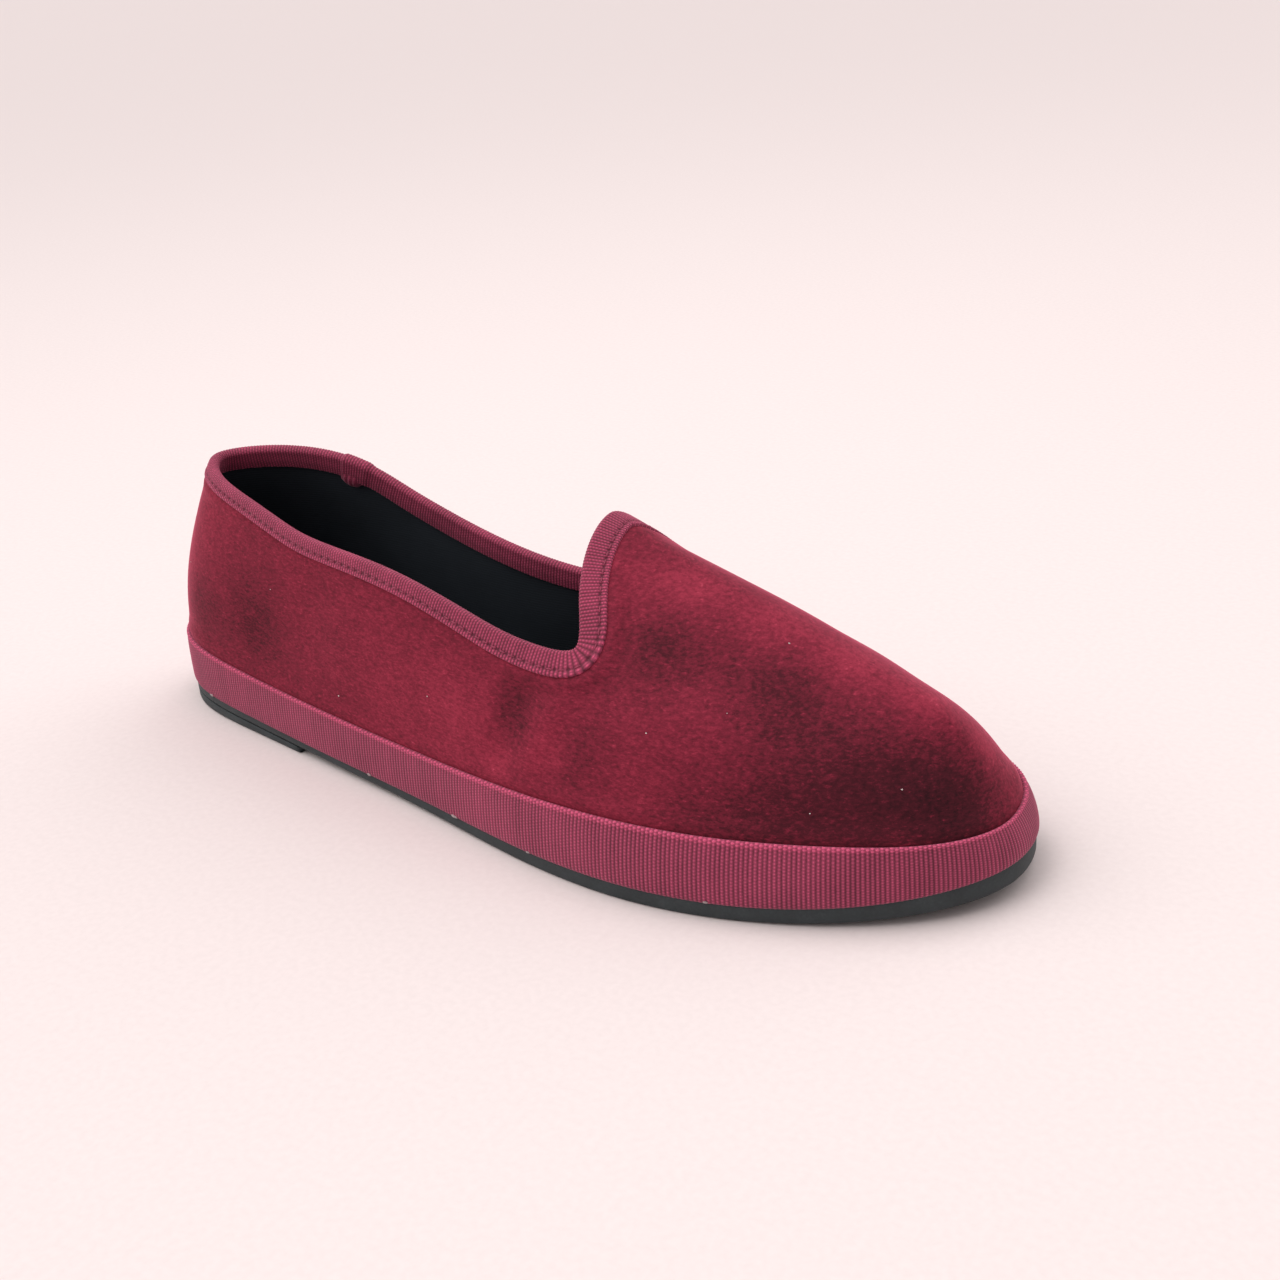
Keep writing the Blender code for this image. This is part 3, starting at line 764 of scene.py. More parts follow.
def velvet_material():
    """Burgundy velvet: brushed light and dark patches with painted highlights and painted shade among
    them, fine pile with painted glints on its tips, and a pale sheen at the rim.
    """
    shader = Shader("velvet", 0.80, 0.15)
    shader.sheen(0.95, 0.26, (0.98, 0.20, 0.32))
    clouds = shader.noise(26.0, 3.0, rough=0.5)
    mottle = shader.noise(190.0, 4.0, (1.0, 1.0, 1.6), rough=0.6)
    pile = shader.noise(1600.0, 3.0, (0.45, 0.45, 1.0), rough=0.7)
    # Painted glints: the brightest specks of a fine noise lighten the pile's tips
    hairs = shader.noise(2300.0, 2.0, (0.35, 0.35, 1.0))
    tip_glints = shader.maths("MAXIMUM", shader.maths("SUBTRACT", hairs, 0.60), 0.0)
    shade = shader.maths("MULTIPLY_ADD", clouds, 0.18, 0.445)
    shade = shader.vary(shade, mottle, 0.20)
    shade = shader.vary(shade, pile, 0.70)
    shade = shader.maths("MULTIPLY_ADD", tip_glints, 1.2, shade)
    # Brushed pile mixed with painted highlights and painted shade, stored for each point
    shade = shader.maths("MULTIPLY_ADD", shader.stored("nap_and_light"), 0.26, shade)
    shader.colour(shade, (
        (0.10, (0.028, 0.0038, 0.0075)),
        (0.34, (0.078, 0.0075, 0.0160)),
        (0.56, (0.200, 0.0150, 0.0350)),
        (0.82, (0.360, 0.0310, 0.0640)),
        (1.00, (0.520, 0.0800, 0.1300)),
    ))
    normal = shader.bump(mottle, 0.25, 0.4 * MM)
    shader.relief(shader.bump(pile, 0.55, 0.14 * MM, normal))
    return shader.material


def lining_material():
    """Nearly black cotton twill."""
    shader = Shader("lining", 0.85, 0.20)
    shader.sheen(0.10, 0.5, (0.4, 0.5, 0.6))
    shape = shader.noise(60.0, 3.0)
    line = shader.add("TexWave", bands_direction="Z")
    line.inputs["Scale"].default_value = 420.0
    line.inputs["Distortion"].default_value = 1.2
    line.inputs["Detail"].default_value = 2.0
    shader.join(shader.place((0.25, 0.25, 1.0)), line, "Vector")
    twill = line.outputs["Fac"]
    shade = shader.maths("MULTIPLY_ADD", twill, 0.35, shader.maths("MULTIPLY", shape, 0.6))
    shader.colour(shade, (
        (0.10, (0.0100, 0.0130, 0.0170)),
        (0.60, (0.0210, 0.0270, 0.0340)),
        (1.00, (0.0380, 0.0470, 0.0580)),
    ))
    shader.relief(shader.bump(twill, 0.35, 0.12 * MM))
    return shader.material


def chance_of(shader, rank):
    """One chance value for each rib, so that no two threads are quite alike."""
    chance = shader.add("TexWhiteNoise", noise_dimensions="1D")
    shader.join(rank, chance, "W")
    return chance.outputs["Value"]


def grosgrain_material(name, rib, pale):
    """Ribbed mauve ribbon: threads over each rib, painted highlight on the crests and painted shade in
    the valleys between the ribs.
    """
    shader = Shader(name, 0.72, 0.25)
    shader.sheen(0.35, 0.45, (0.95, 0.50, 0.62))
    spot = shader.add("UVMap", uv_map="weave")
    parts = shader.add("SeparateXYZ")
    shader.join(spot, parts, 0)
    along = parts.outputs["X"]
    across = parts.outputs["Y"]
    crest = shader.stored("crest")
    rank = shader.maths("FLOOR", shader.maths("MULTIPLY_ADD", along, 1 / rib, 0.5))
    phase = shader.maths("MULTIPLY", rank, math.pi)
    turns = shader.maths("MULTIPLY_ADD", across, 2 * math.pi / WEFT, phase)
    thread = shader.maths("MULTIPLY_ADD", shader.maths("SINE", turns), 0.5, 0.5)
    fade = shader.noise(70.0, 3.0)
    fibre = shader.noise(2200.0, 2.0)
    strand = chance_of(shader, rank)
    # The crest value paints the ribs light on top and dark between: painted highlight and painted shade
    shade = shader.maths("MULTIPLY_ADD", crest, 0.46, -0.02)
    shade = shader.vary(shade, strand, 0.09)
    shade = shader.maths("MULTIPLY_ADD", shader.maths("MULTIPLY", thread, crest), 0.50, shade)
    shade = shader.vary(shade, fade, 0.35)
    shade = shader.vary(shade, fibre, 0.30)
    dark = tuple(0.30 * value for value in pale)
    middle = tuple(0.72 * value for value in pale)
    bright = tuple(min(1.0, 1.80 * value) for value in pale)
    shader.colour(shade, ((0.0, dark), (0.30, middle), (0.62, pale), (1.0, bright)))
    height = shader.maths("MULTIPLY_ADD", shader.maths("MULTIPLY", thread, crest), 0.8,
                          shader.maths("MULTIPLY", fibre, 0.3))
    shader.relief(shader.bump(height, 0.6, 0.14 * MM))
    return shader.material


def rubber_material():
    """Dark slate rubber, a little dusty and worn."""
    shader = Shader("rubber", 0.62, 0.35)
    dust = shader.noise(120.0, 4.0, rough=0.6)
    grain = shader.noise(1500.0, 2.0)
    shade = shader.maths("MULTIPLY_ADD", grain, 0.3, shader.maths("MULTIPLY", dust, 0.7))
    shader.colour(shade, (
        (0.25, (0.020, 0.026, 0.028)),
        (0.55, (0.036, 0.046, 0.049)),
        (0.85, (0.070, 0.084, 0.086)),
    ))
    shader.join(shader.maths("MULTIPLY_ADD", dust, 0.25, 0.50), shader.surface, "Roughness")
    tread = shader.add("TexWave", bands_direction="X", wave_profile="SAW")
    tread.inputs["Scale"].default_value = 125.0
    shader.join(shader.place(turn=45), tread, "Vector")
    parts = shader.add("SeparateXYZ")
    shader.join(shader.add("NewGeometry").outputs["Normal"], parts, 0)
    below = shader.maths("LESS_THAN", parts.outputs["Z"], -0.9)
    ribs = shader.maths("MULTIPLY", tread.outputs["Fac"], below)
    normal = shader.bump(ribs, 0.8, 0.5 * MM)
    shader.relief(shader.bump(grain, 0.25, 0.12 * MM, normal))
    return shader.material


def grainy_material(name, roughness, specular, scale, dim, pale, bump=0.0):
    """Thread, dust, cement or paper: a fine grain between two near colours."""
    shader = Shader(name, roughness, specular)
    grain = shader.noise(scale, 2.0)
    shader.colour(grain, ((0.3, dim), (0.7, pale)))
    if bump:
        shader.relief(shader.bump(grain, bump, 0.1 * MM))
    return shader.material


# Pieces

def fold_relief(points):
    """How far the soft folds push the velvet out at each point."""
    push = np.zeros(points.shape[:-1])
    for row in FOLDS:
        start = shoe_place(*row[0:3])
        run = shoe_place(*row[3:6]) - start
        share = np.clip(np.sum((points - start) * run, -1) / np.sum(run * run), 0, 1)
        away = np.linalg.norm(points - (start + share[..., None] * run), axis=-1)
        push += row[7] * MM * bell(away, row[6] * MM)
    return push


def nap_and_painted_light(points):
    """How bright the pile is brushed at each point, with the painted highlights and painted shade mixed
    in.
    """
    shade = np.zeros(points.shape[:-1])
    for row in NAP_AND_PAINTED_LIGHT:
        away = np.linalg.norm(points - shoe_place(*row[0:3]), axis=-1)
        shade += row[4] * bell(away, row[3] * MM)
    return shade


def velvet_relief(points, edge, edge_width):
    """Folds, the swell beside the ribbons and the sewn seam at the heel."""
    from_edge = np.empty(points.shape[:-1])
    width = np.empty(points.shape[:-1])
    for column in range(points.shape[0]):
        reach = np.linalg.norm(points[column][:, None, :] - edge[None, :, :], axis=-1)
        from_edge[column] = reach.min(axis=1)
        width[column] = edge_width[reach.argmin(axis=1)]
    x = points[..., 0]
    over_band = points[..., 2] - seat(x) - BAND_CURVE(x)
    from_strip = from_edge - width
    free = ease(0.0, 6 * MM, from_strip)
    free = free * ease(0.0, 5 * MM, over_band)
    push = fold_relief(points) * free
    push += EDGE_PUFF * bell(from_strip - 1.4 * MM, 1.7 * MM)
    push += FOOT_PUFF * bell(over_band - 1.6 * MM, 2.2 * MM)
    push -= EDGE_SINK * bell(from_edge - 2.5 * MM, 2.5 * MM)
    at_heel = 1 - ease(0.03 * LENGTH, 0.10 * LENGTH, x)
    height = points[..., 2]
    pucker = 0.75 + 0.25 * np.sin(height / PUCKER_PITCH * 2 * math.pi)
    wander = SEAM_WANDER * np.sin(height / (17 * MM))
    from_seam = np.abs(points[..., 1] - wander)
    clear = ease(-1 * MM, 1 * MM, from_strip)
    push -= SEAM_DEPTH * pucker * bell(from_seam, SEAM_WIDTH) * at_heel * clear
    push += SEAM_LIPS * bell(from_seam - 2.0 * MM, 1.2 * MM) * at_heel * clear
    return push


def build_velvet(velvet, lining):
    """Upper with velvet outside and dark twill inside."""
    places = np.linspace(0, 1, EDGE_SAMPLES)
    edge = np.concatenate([edge_points(side, places) for side in EDGE_CURVES])
    edge_width = np.concatenate([width_curve(places) for _, _, width_curve in EDGE_CURVES.values()])
    outer = []
    inner = []
    nap_and_light_rows = []
    for side in (LATERAL, MEDIAL):
        turns, rises = wall_columns(side)
        sides = np.full(turns.shape, side)
        shape = skin(sides, turns, rises)
        normal = facing(sides, turns, rises)
        push = velvet_relief(shape, edge, edge_width)
        outer.append(shape + normal * push[..., None])
        above_seat = shape[..., 2] - seat(shape[..., 0])
        echo = fold_relief(shape) * FOLDS_INSIDE * ease(3 * MM, 12 * MM, above_seat)
        inside = shape + normal * (echo - UPPER_WALL)[..., None]
        inside[:, 0, 2] = seat(inside[:, 0, 0])
        inner.append(inside)
        nap_and_light_rows.append(nap_and_painted_light(shape))
    collar = len(collar_places()) - 1
    columns, rows = outer[0].shape[:2]
    lateral = np.arange(columns * rows).reshape(columns, rows)
    medial = lateral + columns * rows
    medial[0] = lateral[0]
    medial[-1] = lateral[-1]
    medial[collar:, -1] = lateral[collar:, -1]
    points = np.concatenate([np.array(outer).reshape(-1, 3), np.array(inner).reshape(-1, 3)])
    across = len(points) // 2
    faces = []
    kinds = []
    for grid in (lateral, medial):
        quads = np.stack([grid[:-1, :-1], grid[1:, :-1], grid[1:, 1:], grid[:-1, 1:]], -1).reshape(-1, 4)
        faces += quads.tolist()
        kinds += [0] * len(quads)
        faces += (quads + across).tolist()
        kinds += [1] * len(quads)
    foot_ring = [int(spot) for spot in (*lateral[:, 0], *medial[-2:0:-1, 0])]
    top_edge = (*lateral[: collar + 1, -1], *medial[collar - 1 : 0 : -1, -1])
    top_ring = [int(spot) for spot in top_edge]
    for ring in (foot_ring, top_ring):
        for spot, after in zip(ring, ring[1:] + ring[:1]):
            faces.append([spot, after, after + across, spot + across])
            kinds.append(1)
    used = np.unique(np.array(faces))
    renumber = np.full(len(points), -1)
    renumber[used] = np.arange(len(used))
    faces = renumber[np.array(faces)].tolist()
    piece = new_piece("velvet_upper", points[used], faces, [velvet, lining], kinds)
    nap_and_light = np.concatenate([np.array(nap_and_light_rows).ravel(), np.zeros(across)])
    # Store the brushed pile with its painted highlights and painted shade
    paint(piece, "nap_and_light", nap_and_light[used])
    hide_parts("upper")


def rib_wave(columns):
    """Height of the ribs round a ribbon, 0 in the valleys and 1 on the crests."""
    return 0.5 + 0.5 * np.cos(2 * math.pi * np.arange(columns) / POINTS_A_RIB)


def build_band(material):
    """Grosgrain band round the foot, standing a little proud, its top edge beaded."""
    _, _, whole = foot_loop(8)
    ribs = int(round(whole / BAND_RIB))
    columns = ribs * POINTS_A_RIB
    side, turn, whole = foot_loop(columns)
    at = np.arange(columns) / columns * whole
    crest = rib_wave(columns)
    foot = outline(side, turn, BAND_THICKNESS + GAP)
    base = seat(foot[:, 0])
    height = BAND_CURVE(foot[:, 0])
    profile = (
        # level, stand-off in mm, rib strength
        (0.00, 0.95, 0.3),
        (0.02, 1.30, 0.8),
        (0.07, 1.48, 1.0),
        (0.18, 1.52, 1.0),
        (0.30, 1.52, 1.0),
        (0.42, 1.52, 1.0),
        (0.54, 1.50, 1.0),
        (0.66, 1.48, 1.0),
        (0.77, 1.44, 1.0),
        (0.86, 1.36, 1.0),
        (0.91, 1.26, 1.0),
        (0.945, 1.34, 1.6),
        (0.975, 1.32, 1.7),
        (0.995, 1.05, 1.4),
        (1.005, 0.60, 0.8),
        (0.990, 0.10, 0.0),
    )
    wave = 0.16 * MM * np.sin(at / (31 * MM)) + 0.12 * MM * np.sin(at / (13 * MM) + 1.0)
    rows = []
    for level, stand, force in profile:
        rise = rise_at(side, turn, base + level * height + (wave if level > 0.8 else 0.0))
        stand = stand * MM + BAND_RIB_DEPTH * force * (crest - RIB_MIDDLE)
        # Ribs painted light on their crests and dark in the valleys, the beaded top edge lighter still:
        # painted highlight and painted shade
        bead = BEAD_PAINTED_HIGHLIGHT if 0.93 < level < 1.0 else 0.0
        shade = crest * (0.55 + 0.45 * min(force, 1.0)) + bead
        rows.append((offset_skin(side, turn, rise, stand), level * BAND_HEIGHT, shade))
    # Rows sunk into the wall, painted darker as painted shade
    for level in (0.6, 0.1):
        rise = rise_at(side, turn, base + level * height)
        back = offset_skin(side, turn, rise, -BAND_SINK)
        rows.append((back, level * BAND_HEIGHT, crest * 0.5))
    for lowest in (rows[0][0], rows[-1][0]):
        lowest[:, 2] = base - BAND_TUCK
    piece = ribbon("grosgrain_band", rows, at, whole, material)
    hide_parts("sole_band")


def edge_directions(side, turn, rise):
    """Top edge's points, and which way it runs, faces and falls at each."""
    edge = skin(side, turn, rise)
    along = unit(np.roll(edge, -1, axis=0) - np.roll(edge, 1, axis=0))
    normal = facing(side, turn, rise)
    return edge, along, normal, unit(np.cross(along, normal))


def lap_at(edge, side):
    """Extra thickness where the strip's end lies over its start."""
    past_start = edge[:, 0] - LAP_SHARE * LENGTH
    inside = ease(-0.6 * MM, 0.4 * MM, past_start)
    inside = inside * ease(BINDING_LAP + 1 * MM, BINDING_LAP - 1 * MM, past_start)
    return np.where(side == MEDIAL, inside * BINDING_THICKNESS * LAP_THICKNESS_SHARE, 0.0)


def build_binding(material):
    """Folded ribbon over the collar with a sewn line and a beaded selvedge."""
    side, turn, rise, width, at, whole = collar_loop(BINDING_RIB)
    edge, _, normal, away = edge_directions(side, turn, rise)
    crest = rib_wave(len(at))
    swing = BINDING_RIB_DEPTH * (crest - RIB_MIDDLE)
    top = BINDING_STAND + lap_at(edge, side)
    ruck = RUCK_HEIGHT * np.sin(at / (5.3 * MM)) * np.sin(at / (17 * MM))
    stitches = int(round(whole / STITCH_PITCH))
    from_hole = (at / whole * stitches + 0.5) % 1.0 - 0.5
    from_hole = np.abs(from_hole) * whole / stitches
    rows = []
    # Outside, from the selvedge up to the top edge
    for share in (1.0, 0.99, 0.965, *np.linspace(0.93, 0, 20)):
        reach = share * width
        left = width - reach
        place = slide(side, turn, rise, away, reach[:, None])
        hole = bell(np.hypot(from_hole, left - STITCH_LINE), NEEDLE_RADIUS)
        stand = top + ruck * ease(0, 3 * MM, reach)
        stand = stand - STITCH_GROOVE * bell(left - STITCH_LINE, GROOVE_WIDTH)
        stand = stand + SELVEDGE_BEAD * bell(left - 0.7 * MM, GROOVE_WIDTH)
        stand = stand - NEEDLE_DEPTH * hole
        stand = stand * (1 - 0.85 * ease(0.3 * MM, 0.0, left) ** 2)
        stand = stand + swing * ease(0.0, 0.2 * MM, left)
        # Ribs painted darker along the sewn groove and in the needle holes as painted shade, and lighter
        # on the selvedge bead as a painted highlight
        force = 1.0 - 0.5 * bell(left - STITCH_LINE, 0.35 * MM)
        force = force + 0.25 * bell(left - 0.6 * MM, 0.4 * MM)
        rows.append((offset_skin(side, *place, stand), -reach, crest * force - NEEDLE_SHADE * hole))
    # Over the top edge
    middle = edge - normal * (EDGE_WALL / 2)
    reach = (EDGE_WALL / 2 + top + swing)[:, None]
    height = (top * BEND_HEIGHT_SHARE + swing)[:, None]
    bends = 9
    for spot in range(1, bends + 1):
        angle = math.pi * spot / (bends + 1)
        bend = middle + normal * reach * math.cos(angle) - away * height * math.sin(angle)
        rows.append((bend, spot / (bends + 1) * BEND_SPAN, crest))
    # Inside, down to the other selvedge
    for share in (*np.linspace(0, 0.92, 9), 0.96, 0.99, 1.0):
        distance = share * BINDING_INSIDE
        place = slide(side, turn, rise, away, distance)
        wall = EDGE_WALL + (UPPER_WALL - EDGE_WALL) * float(ease(0.0, 3 * MM, distance))
        stand = top - 0.08 * MM * bell(distance - 3.4 * MM, GROOVE_WIDTH)
        stand = stand * (1 - 0.85 * ease(0.94, 1.0, share) ** 2)
        stand = stand + swing * (1 - ease(0.96, 1.0, share))
        rows.append((offset_skin(side, *place, -(wall + stand)), BEND_SPAN + distance, crest))
    # Back of the strip, hidden in the wall, its ribs painted darker as painted shade
    for share, depth in ((0.8, UPPER_WALL * 0.9), (0.1, UPPER_WALL * 0.5), (0.9, 0.12 * MM)):
        place = slide(side, turn, rise, away, share * BINDING_INSIDE)
        rows.append((offset_skin(side, *place, -depth), 12 * MM, crest * 0.3))
    piece = ribbon("grosgrain_binding", rows, at, whole, material)
    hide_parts("collar_binding")


def build_stitches(material):
    """Row of sewn stitches along the binding's outer side."""
    side, turn, rise, width, at, whole = collar_loop(BINDING_RIB)
    edge, along, _, away = edge_directions(side, turn, rise)
    count = int(round(whole / STITCH_PITCH))
    centres = (np.arange(count) + 0.5) / count * whole
    picks = np.round(centres / whole * len(at)).astype(int) % len(at)
    side, turn, rise, away = side[picks], turn[picks], rise[picks], away[picks]
    lap = lap_at(edge[picks], side)
    place = slide(side, turn, rise, away, (width[picks] - STITCH_LINE)[:, None])
    normal = facing(side, *place)
    level = BINDING_STAND + lap - 0.06 * MM
    centre = skin(side, *place) + normal * level[:, None]
    axis = along[picks]
    axis = unit(axis - normal * np.sum(axis * normal, -1, keepdims=True))
    cross = np.cross(normal, axis)
    rings = (
        # place along, radius, sink, as shares of half length and radius
        (-1.00, 0.25, 0.9),
        (-0.80, 0.85, 0.45),
        (-0.40, 1.00, 0.10),
        (0.00, 1.05, 0.0),
        (0.40, 1.00, 0.10),
        (0.80, 0.85, 0.45),
        (1.00, 0.25, 0.9),
    )
    around = 8
    points = []
    for run, radius, sink in rings:
        base = centre + axis * run * STITCH_LENGTH / 2 - normal * sink * STITCH_RADIUS
        for spot in range(around):
            angle = 2 * math.pi * spot / around
            push = normal * math.sin(angle) + cross * math.cos(angle)
            points.append(base + push * radius * STITCH_RADIUS)
    points = np.stack(points, axis=1)
    per = len(rings) * around
    faces = []
    for start in range(0, count * per, per):
        faces += hoops(len(rings), around, start)
        faces += [range(start, start + around), range(start + per - around, start + per)]
    new_piece("binding_stitches", points.reshape(-1, 3), faces, [material])


def level_ring(loop, inward, height, lift=0.0):
    """Ring of points inward of the outsole's edge, lifted over a height that is a function of x."""
    plan = outline(*loop, OUTSOLE_SET_BACK + inward)
    return np.column_stack([plan, height(plan[:, 0]) + lift])


def rounded_edge(loop, low, high):
    """Rings of a plate whose lower edge is rounded and whose upper edge is eased."""
    layers = [level_ring(loop, 2.2 * EDGE_ROUND, low)]
    for angle in np.linspace(0, RIGHT_ANGLE, 5):
        inward = EDGE_ROUND * (1 - math.sin(angle))
        layers.append(level_ring(loop, inward, low, EDGE_ROUND * (1 - math.cos(angle))))
    for inward, drop in ((0.0, 0.25), (0.10, 0.06), (0.35, 0.0)):
        layers.append(level_ring(loop, inward * MM, high, -drop * MM))
    return np.array(layers)


def build_rubber(material):
    """Thin outsole and the lift under the heel."""
    side, turn, _ = foot_loop(560)
    layers = rounded_edge((side, turn), under, lambda x: seat(x) - 0.1 * MM)
    sole = plate("rubber_sole", layers, material)
    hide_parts("outsole")
    turns = np.linspace(0, float(turn_of(HEEL_LIFT_SHARE)), 60)
    sides = np.concatenate([np.full(60, LATERAL), np.full(59, MEDIAL)])
    loop = (sides, np.concatenate([turns, turns[:0:-1]]))
    layers = rounded_edge(loop, lambda x: 0 * x, lambda x: under(x) - 0.12 * MM)
    lift = plate("rubber_heel", layers, material)
    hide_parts("heel_lift")


def build_footbed(material):
    """Footbed, a little hollowed under heel and ball."""
    side, turn, _ = foot_loop(400)
    foot = outline(side, turn, BAND_THICKNESS + GAP)
    share = (1 - np.cos(np.pi * turn)) / 2
    spine = HEEL_SPINE + (LENGTH - TOE_SPINE - HEEL_SPINE) * share
    layers = []
    play = UPPER_WALL + INNER_PLAY
    for lift, set_in in ((0.0, 0.0), (0.5, 0.0), (0.84, 0.0), (0.94, 0.3), (0.985, 0.7), (1.0, 1.2)):
        rise = rise_at(side, turn, seat(foot[:, 0]) + lift * INSOLE_THICKNESS)
        ring = offset_skin(side, turn, rise, -(play + set_in * MM))
        ring[:, 2] = seat(ring[:, 0]) + lift * INSOLE_THICKNESS
        layers.append(ring)
    rim = layers[-1]
    for inward in (0.08, 0.18, 0.32, 0.48, 0.66, 0.84, 0.96):
        ring = rim.copy()
        ring[:, 0] = rim[:, 0] + (spine - rim[:, 0]) * inward
        ring[:, 1] = rim[:, 1] * (1 - inward)
        x = ring[:, 0]
        dish = bell(x - 0.12 * LENGTH, 0.11 * LENGTH) + 0.8 * bell(x - 0.68 * LENGTH, 0.12 * LENGTH)
        ring[:, 2] = seat(x) + INSOLE_THICKNESS - DISH_DEPTH * dish * ease(0.0, 0.8, inward)
        layers.append(ring)
    piece = plate("footbed", np.array(layers), material)
    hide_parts("insole")


def build_tuck(material):
    """Gathered end of the binding, turned under on the inside of the medial side."""
    places = np.linspace(0, 1, PATH_SAMPLES)
    edge = edge_points(MEDIAL, places)
    start = int(np.argmin(np.abs(edge[:, 0] - LAP_SHARE * LENGTH)))
    lengths = lengths_along(edge)
    across, down = 28, 16
    spans = lengths[start] + np.linspace(-1.0, 6.0, across) * MM
    place = np.interp(spans, lengths, places)
    turn, rise, _ = (curve(place) for curve in EDGE_CURVES[MEDIAL])
    side = np.full(turn.shape, MEDIAL)
    heading = unit(skin(side, turn, rise - 0.02) - skin(side, turn, rise))
    share = np.linspace(0, 1, across)
    waves = share * TUCK_PLEATS * 2 * math.pi
    front = []
    back = []
    for row in range(down):
        level = row / (down - 1)
        drop = (3.2 + level * (4.4 - 1.8 * np.abs(2 * share - 0.9) ** 2)) * MM
        at_place = slide(side, turn, rise, heading, drop[:, None])
        bulge = np.sin(math.pi * share) ** 0.6 * math.sin(math.pi * (0.12 + 0.88 * level)) ** 0.7
        pleat = 0.20 * MM * np.sin(waves + 1.5 * level) * bulge
        depth = UPPER_WALL + 0.4 * MM + 1.15 * MM * bulge + pleat
        front.append(offset_skin(side, *at_place, -depth))
        back.append(offset_skin(side, *at_place, -0.8 * UPPER_WALL))
    grid = np.concatenate([np.array(front), np.array(back)[::-1]])
    rings = grid.shape[0]
    points = grid.transpose(1, 0, 2).reshape(-1, 3)
    faces = hoops(across, rings)
    for end in (0, (across - 1) * rings):
        for ring in range(down - 1):
            other = end + rings - 1 - ring
            faces.append((end + ring, end + ring + 1, other - 1, other))
    corners = [spot for face in faces for spot in face]
    uv = [(spans[spot // rings], spot % rings * 0.4 * MM) for spot in corners]
    piece = new_piece("binding_tuck", points, faces, [material], uv=uv)
    # Pleats painted alternately lighter and darker: painted highlight and painted shade on the gathers
    paint(piece, "crest", np.repeat(0.50 + 0.25 * np.sin(waves), rings))


def crumbs(name, place, stand, sizes, material):
    """Small flat lumps at places on the shoe, standing off the last, joined in one mesh."""
    centres = offset_skin(*place, stand)
    normals = facing(*place)
    directions = unit(slopes_at(*place)[0])
    rings = ((0.95, -0.25), (1.0, 0.15), (0.6, 0.5))
    around = 7
    dice = np.random.default_rng(11)
    points = []
    faces = []
    for centre, normal, direction, size in zip(centres, normals, directions, sizes):
        direction = unit(direction - normal * np.dot(direction, normal))
        cross = np.cross(normal, direction)
        start = len(points)
        for radius, lift in rings:
            for spot in range(around):
                angle = 2 * math.pi * spot / around
                wobble = radius * (0.75 + 0.5 * dice.random())
                reach = direction * size[0] * math.cos(angle) + cross * size[1] * math.sin(angle)
                points.append(centre + reach * wobble / 2 + normal * lift * size[2])
        faces += hoops(len(rings), around, start)
        faces += [range(start, start + around), range(len(points) - around, len(points))]
    new_piece(name, points, faces, [material])


def build_specks(dust, cement):
    """Dust on the velvet and smears of cement under the band."""
    side, turn, rise, size = np.array(DUST).T
    place = (side, turn, np.radians(rise))
    size = size * MM
    sizes = np.stack([size, size * 0.7, size * 0.4], -1)
    crumbs("dust_specks", place, fold_relief(skin(*place)) + 0.05 * MM, sizes, dust)
    side, turn, length, height = np.array(CEMENT).T
    rise = rise_at(side, turn, seat(outline(side, turn)[:, 0]) + 0.35 * MM)
    sizes = np.stack([length, height, np.full(len(side), 0.35)], -1) * MM
    crumbs("cement_smears", (side, turn, rise), 1.42 * MM, sizes, cement)


# Floor, light and camera

def build_floor(paper):
    """Pale floor that the shoe stands on."""
    mesh = bpy.data.meshes.new("floor")
    half = 6.0
    corners = [(-half, -half, 0), (half, -half, 0), (half, half, 0), (-half, half, 0)]
    mesh.from_pydata(corners, [], [(0, 1, 2, 3)])
    mesh.materials.append(paper)
    floor = bpy.data.objects.new("floor", mesh)
    bpy.context.collection.objects.link(floor)


def light(kind, name, place, target, power, colour):
    """Lamp of one kind at a place, aimed at a target."""
    data = bpy.data.lights.new(name, kind)
    data.energy = power
    data.color = colour
    lamp = bpy.data.objects.new(name, data)
    bpy.context.collection.objects.link(lamp)
    lamp.location = place
    lamp.rotation_mode = "QUATERNION"
    lamp.rotation_quaternion = (Vector(target) - Vector(place)).to_track_quat("-Z", "Y")
    return data


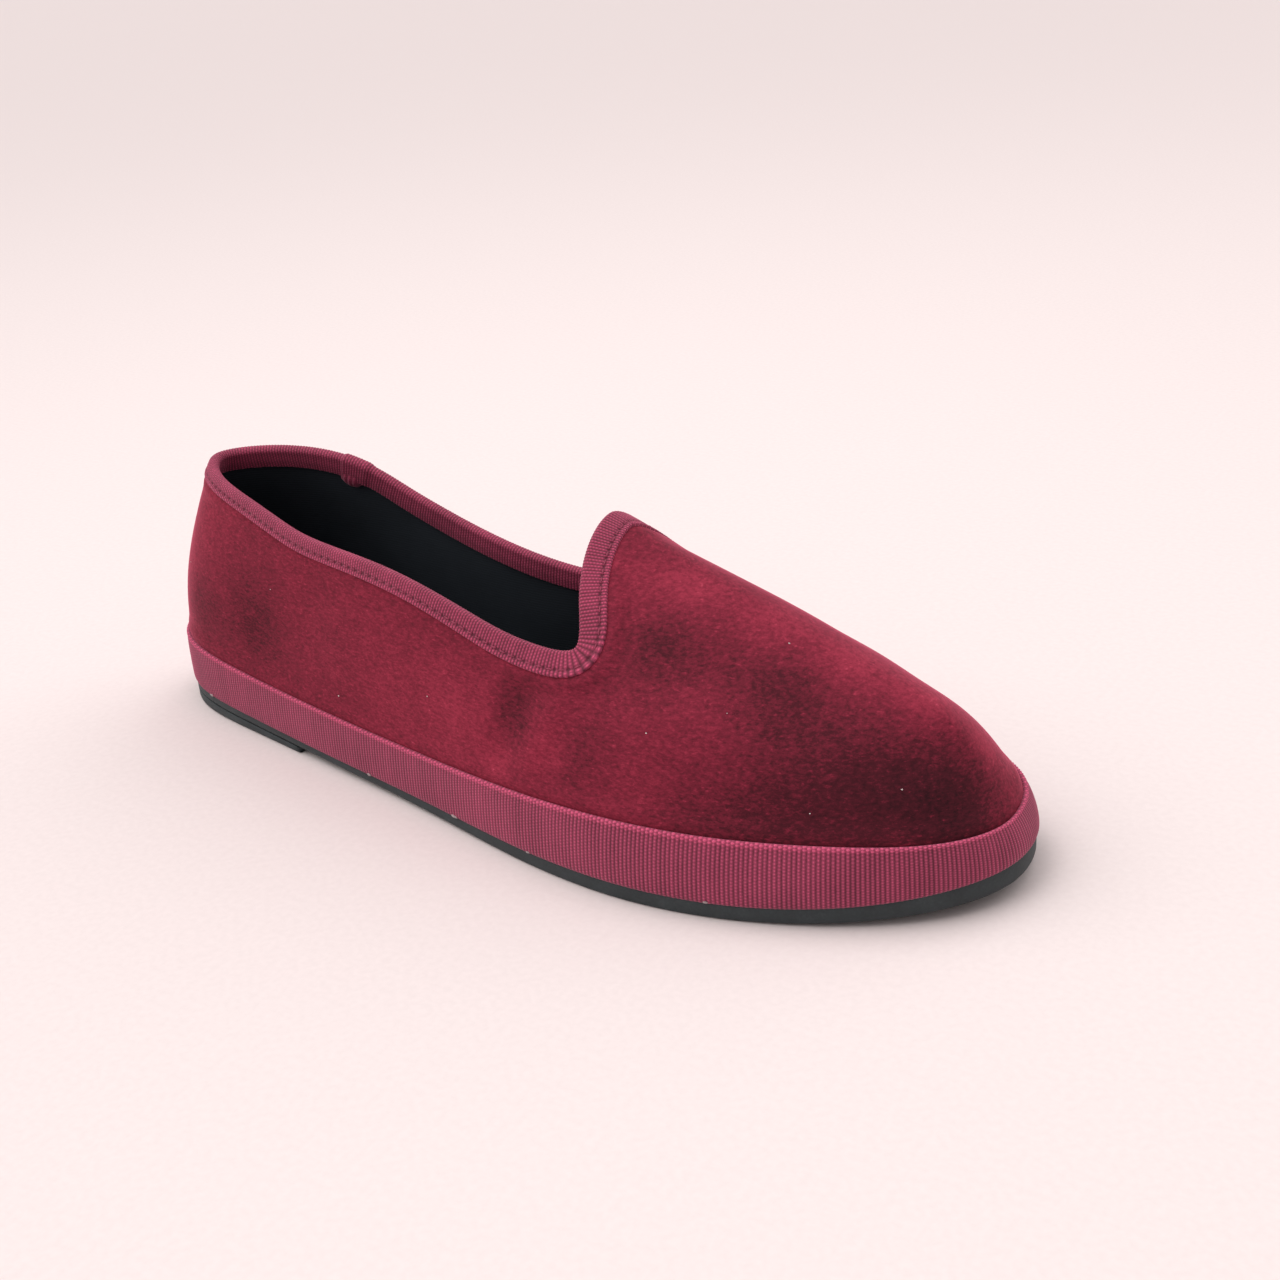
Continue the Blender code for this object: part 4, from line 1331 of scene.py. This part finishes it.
def build_lights():
    """Wide soft light from the left and above, a weaker one from behind, and a pale world."""
    key = light("SUN", "key", (-0.80, -0.45, 1.10), (0, 0, 0), 1.60, (1.0, 0.97, 0.96))
    back = light("SUN", "back", (0.35, 0.90, 0.90), (0, 0, 0), 0.75, (1.0, 0.97, 0.97))
    key.angle = back.angle = math.radians(SUN_SPREAD)
    top = light("AREA", "top", (-0.10, 0.10, 0.90), (0, 0, 0.03), 2.2, (1.0, 0.98, 0.97))
    top.shape = "SQUARE"
    top.size = 0.7
    world = bpy.data.worlds.new("studio")
    world.use_nodes = True
    world.node_tree.nodes["Background"].inputs[0].default_value = (1.0, 0.94, 0.94, 1.0)
    world.node_tree.nodes["Background"].inputs[1].default_value = 0.50
    bpy.context.scene.world = world
    bpy.context.scene.view_settings.view_transform = "Standard"


def build_camera():
    """Camera at the photograph's angle, rolled as it was."""
    azimuth = math.radians(35.6)
    elevation = math.radians(24.4)
    roll = math.radians(-4.26)
    distance = 0.4187
    target = Vector((0.1509, 0.0063, 0.0366)) + Vector(SHIFT)
    level = math.cos(elevation)
    back = Vector((math.sin(azimuth) * level, -math.cos(azimuth) * level, math.sin(elevation)))
    right = (-back).cross(Vector((0, 0, 1))).normalized()
    up = right.cross(-back)
    across = right * math.cos(roll) + up * math.sin(roll)
    over = up * math.cos(roll) - right * math.sin(roll)
    camera = bpy.data.objects.new("camera", bpy.data.cameras.new("camera"))
    camera.data.sensor_width = 36.0
    camera.data.lens = 47.8
    camera.data.clip_start = 0.02
    camera.rotation_mode = "QUATERNION"
    camera.location = target + back * distance
    camera.rotation_quaternion = Matrix((across, over, back)).transposed().to_quaternion()
    bpy.context.collection.objects.link(camera)
    bpy.context.scene.camera = camera


velvet = velvet_material()
lining = lining_material()
band_cloth = grosgrain_material("grosgrain_band_cloth", BAND_RIB, (0.385, 0.056, 0.118))
binding_cloth = grosgrain_material("grosgrain_binding_cloth", BINDING_RIB, (0.385, 0.048, 0.108))
rubber = rubber_material()
thread = grainy_material("thread", 0.6, 0.3, 2600.0, (0.200, 0.026, 0.056), (0.360, 0.056, 0.110), 0.4)
dust = grainy_material("dust", 0.85, 0.2, 1800.0, (0.504, 0.434, 0.420), (0.72, 0.62, 0.60))
cement = grainy_material("cement", 0.85, 0.2, 1800.0, (0.322, 0.252, 0.259), (0.46, 0.36, 0.37))
paper = grainy_material("floor", 0.9, 0.1, 600.0, (0.80, 0.72, 0.71), (0.83, 0.75, 0.74))
build_velvet(velvet, lining)
build_band(band_cloth)
build_binding(binding_cloth)
build_stitches(thread)
build_tuck(binding_cloth)
build_rubber(rubber)
build_footbed(lining)
build_specks(dust, cement)
build_floor(paper)
build_lights()
build_camera()
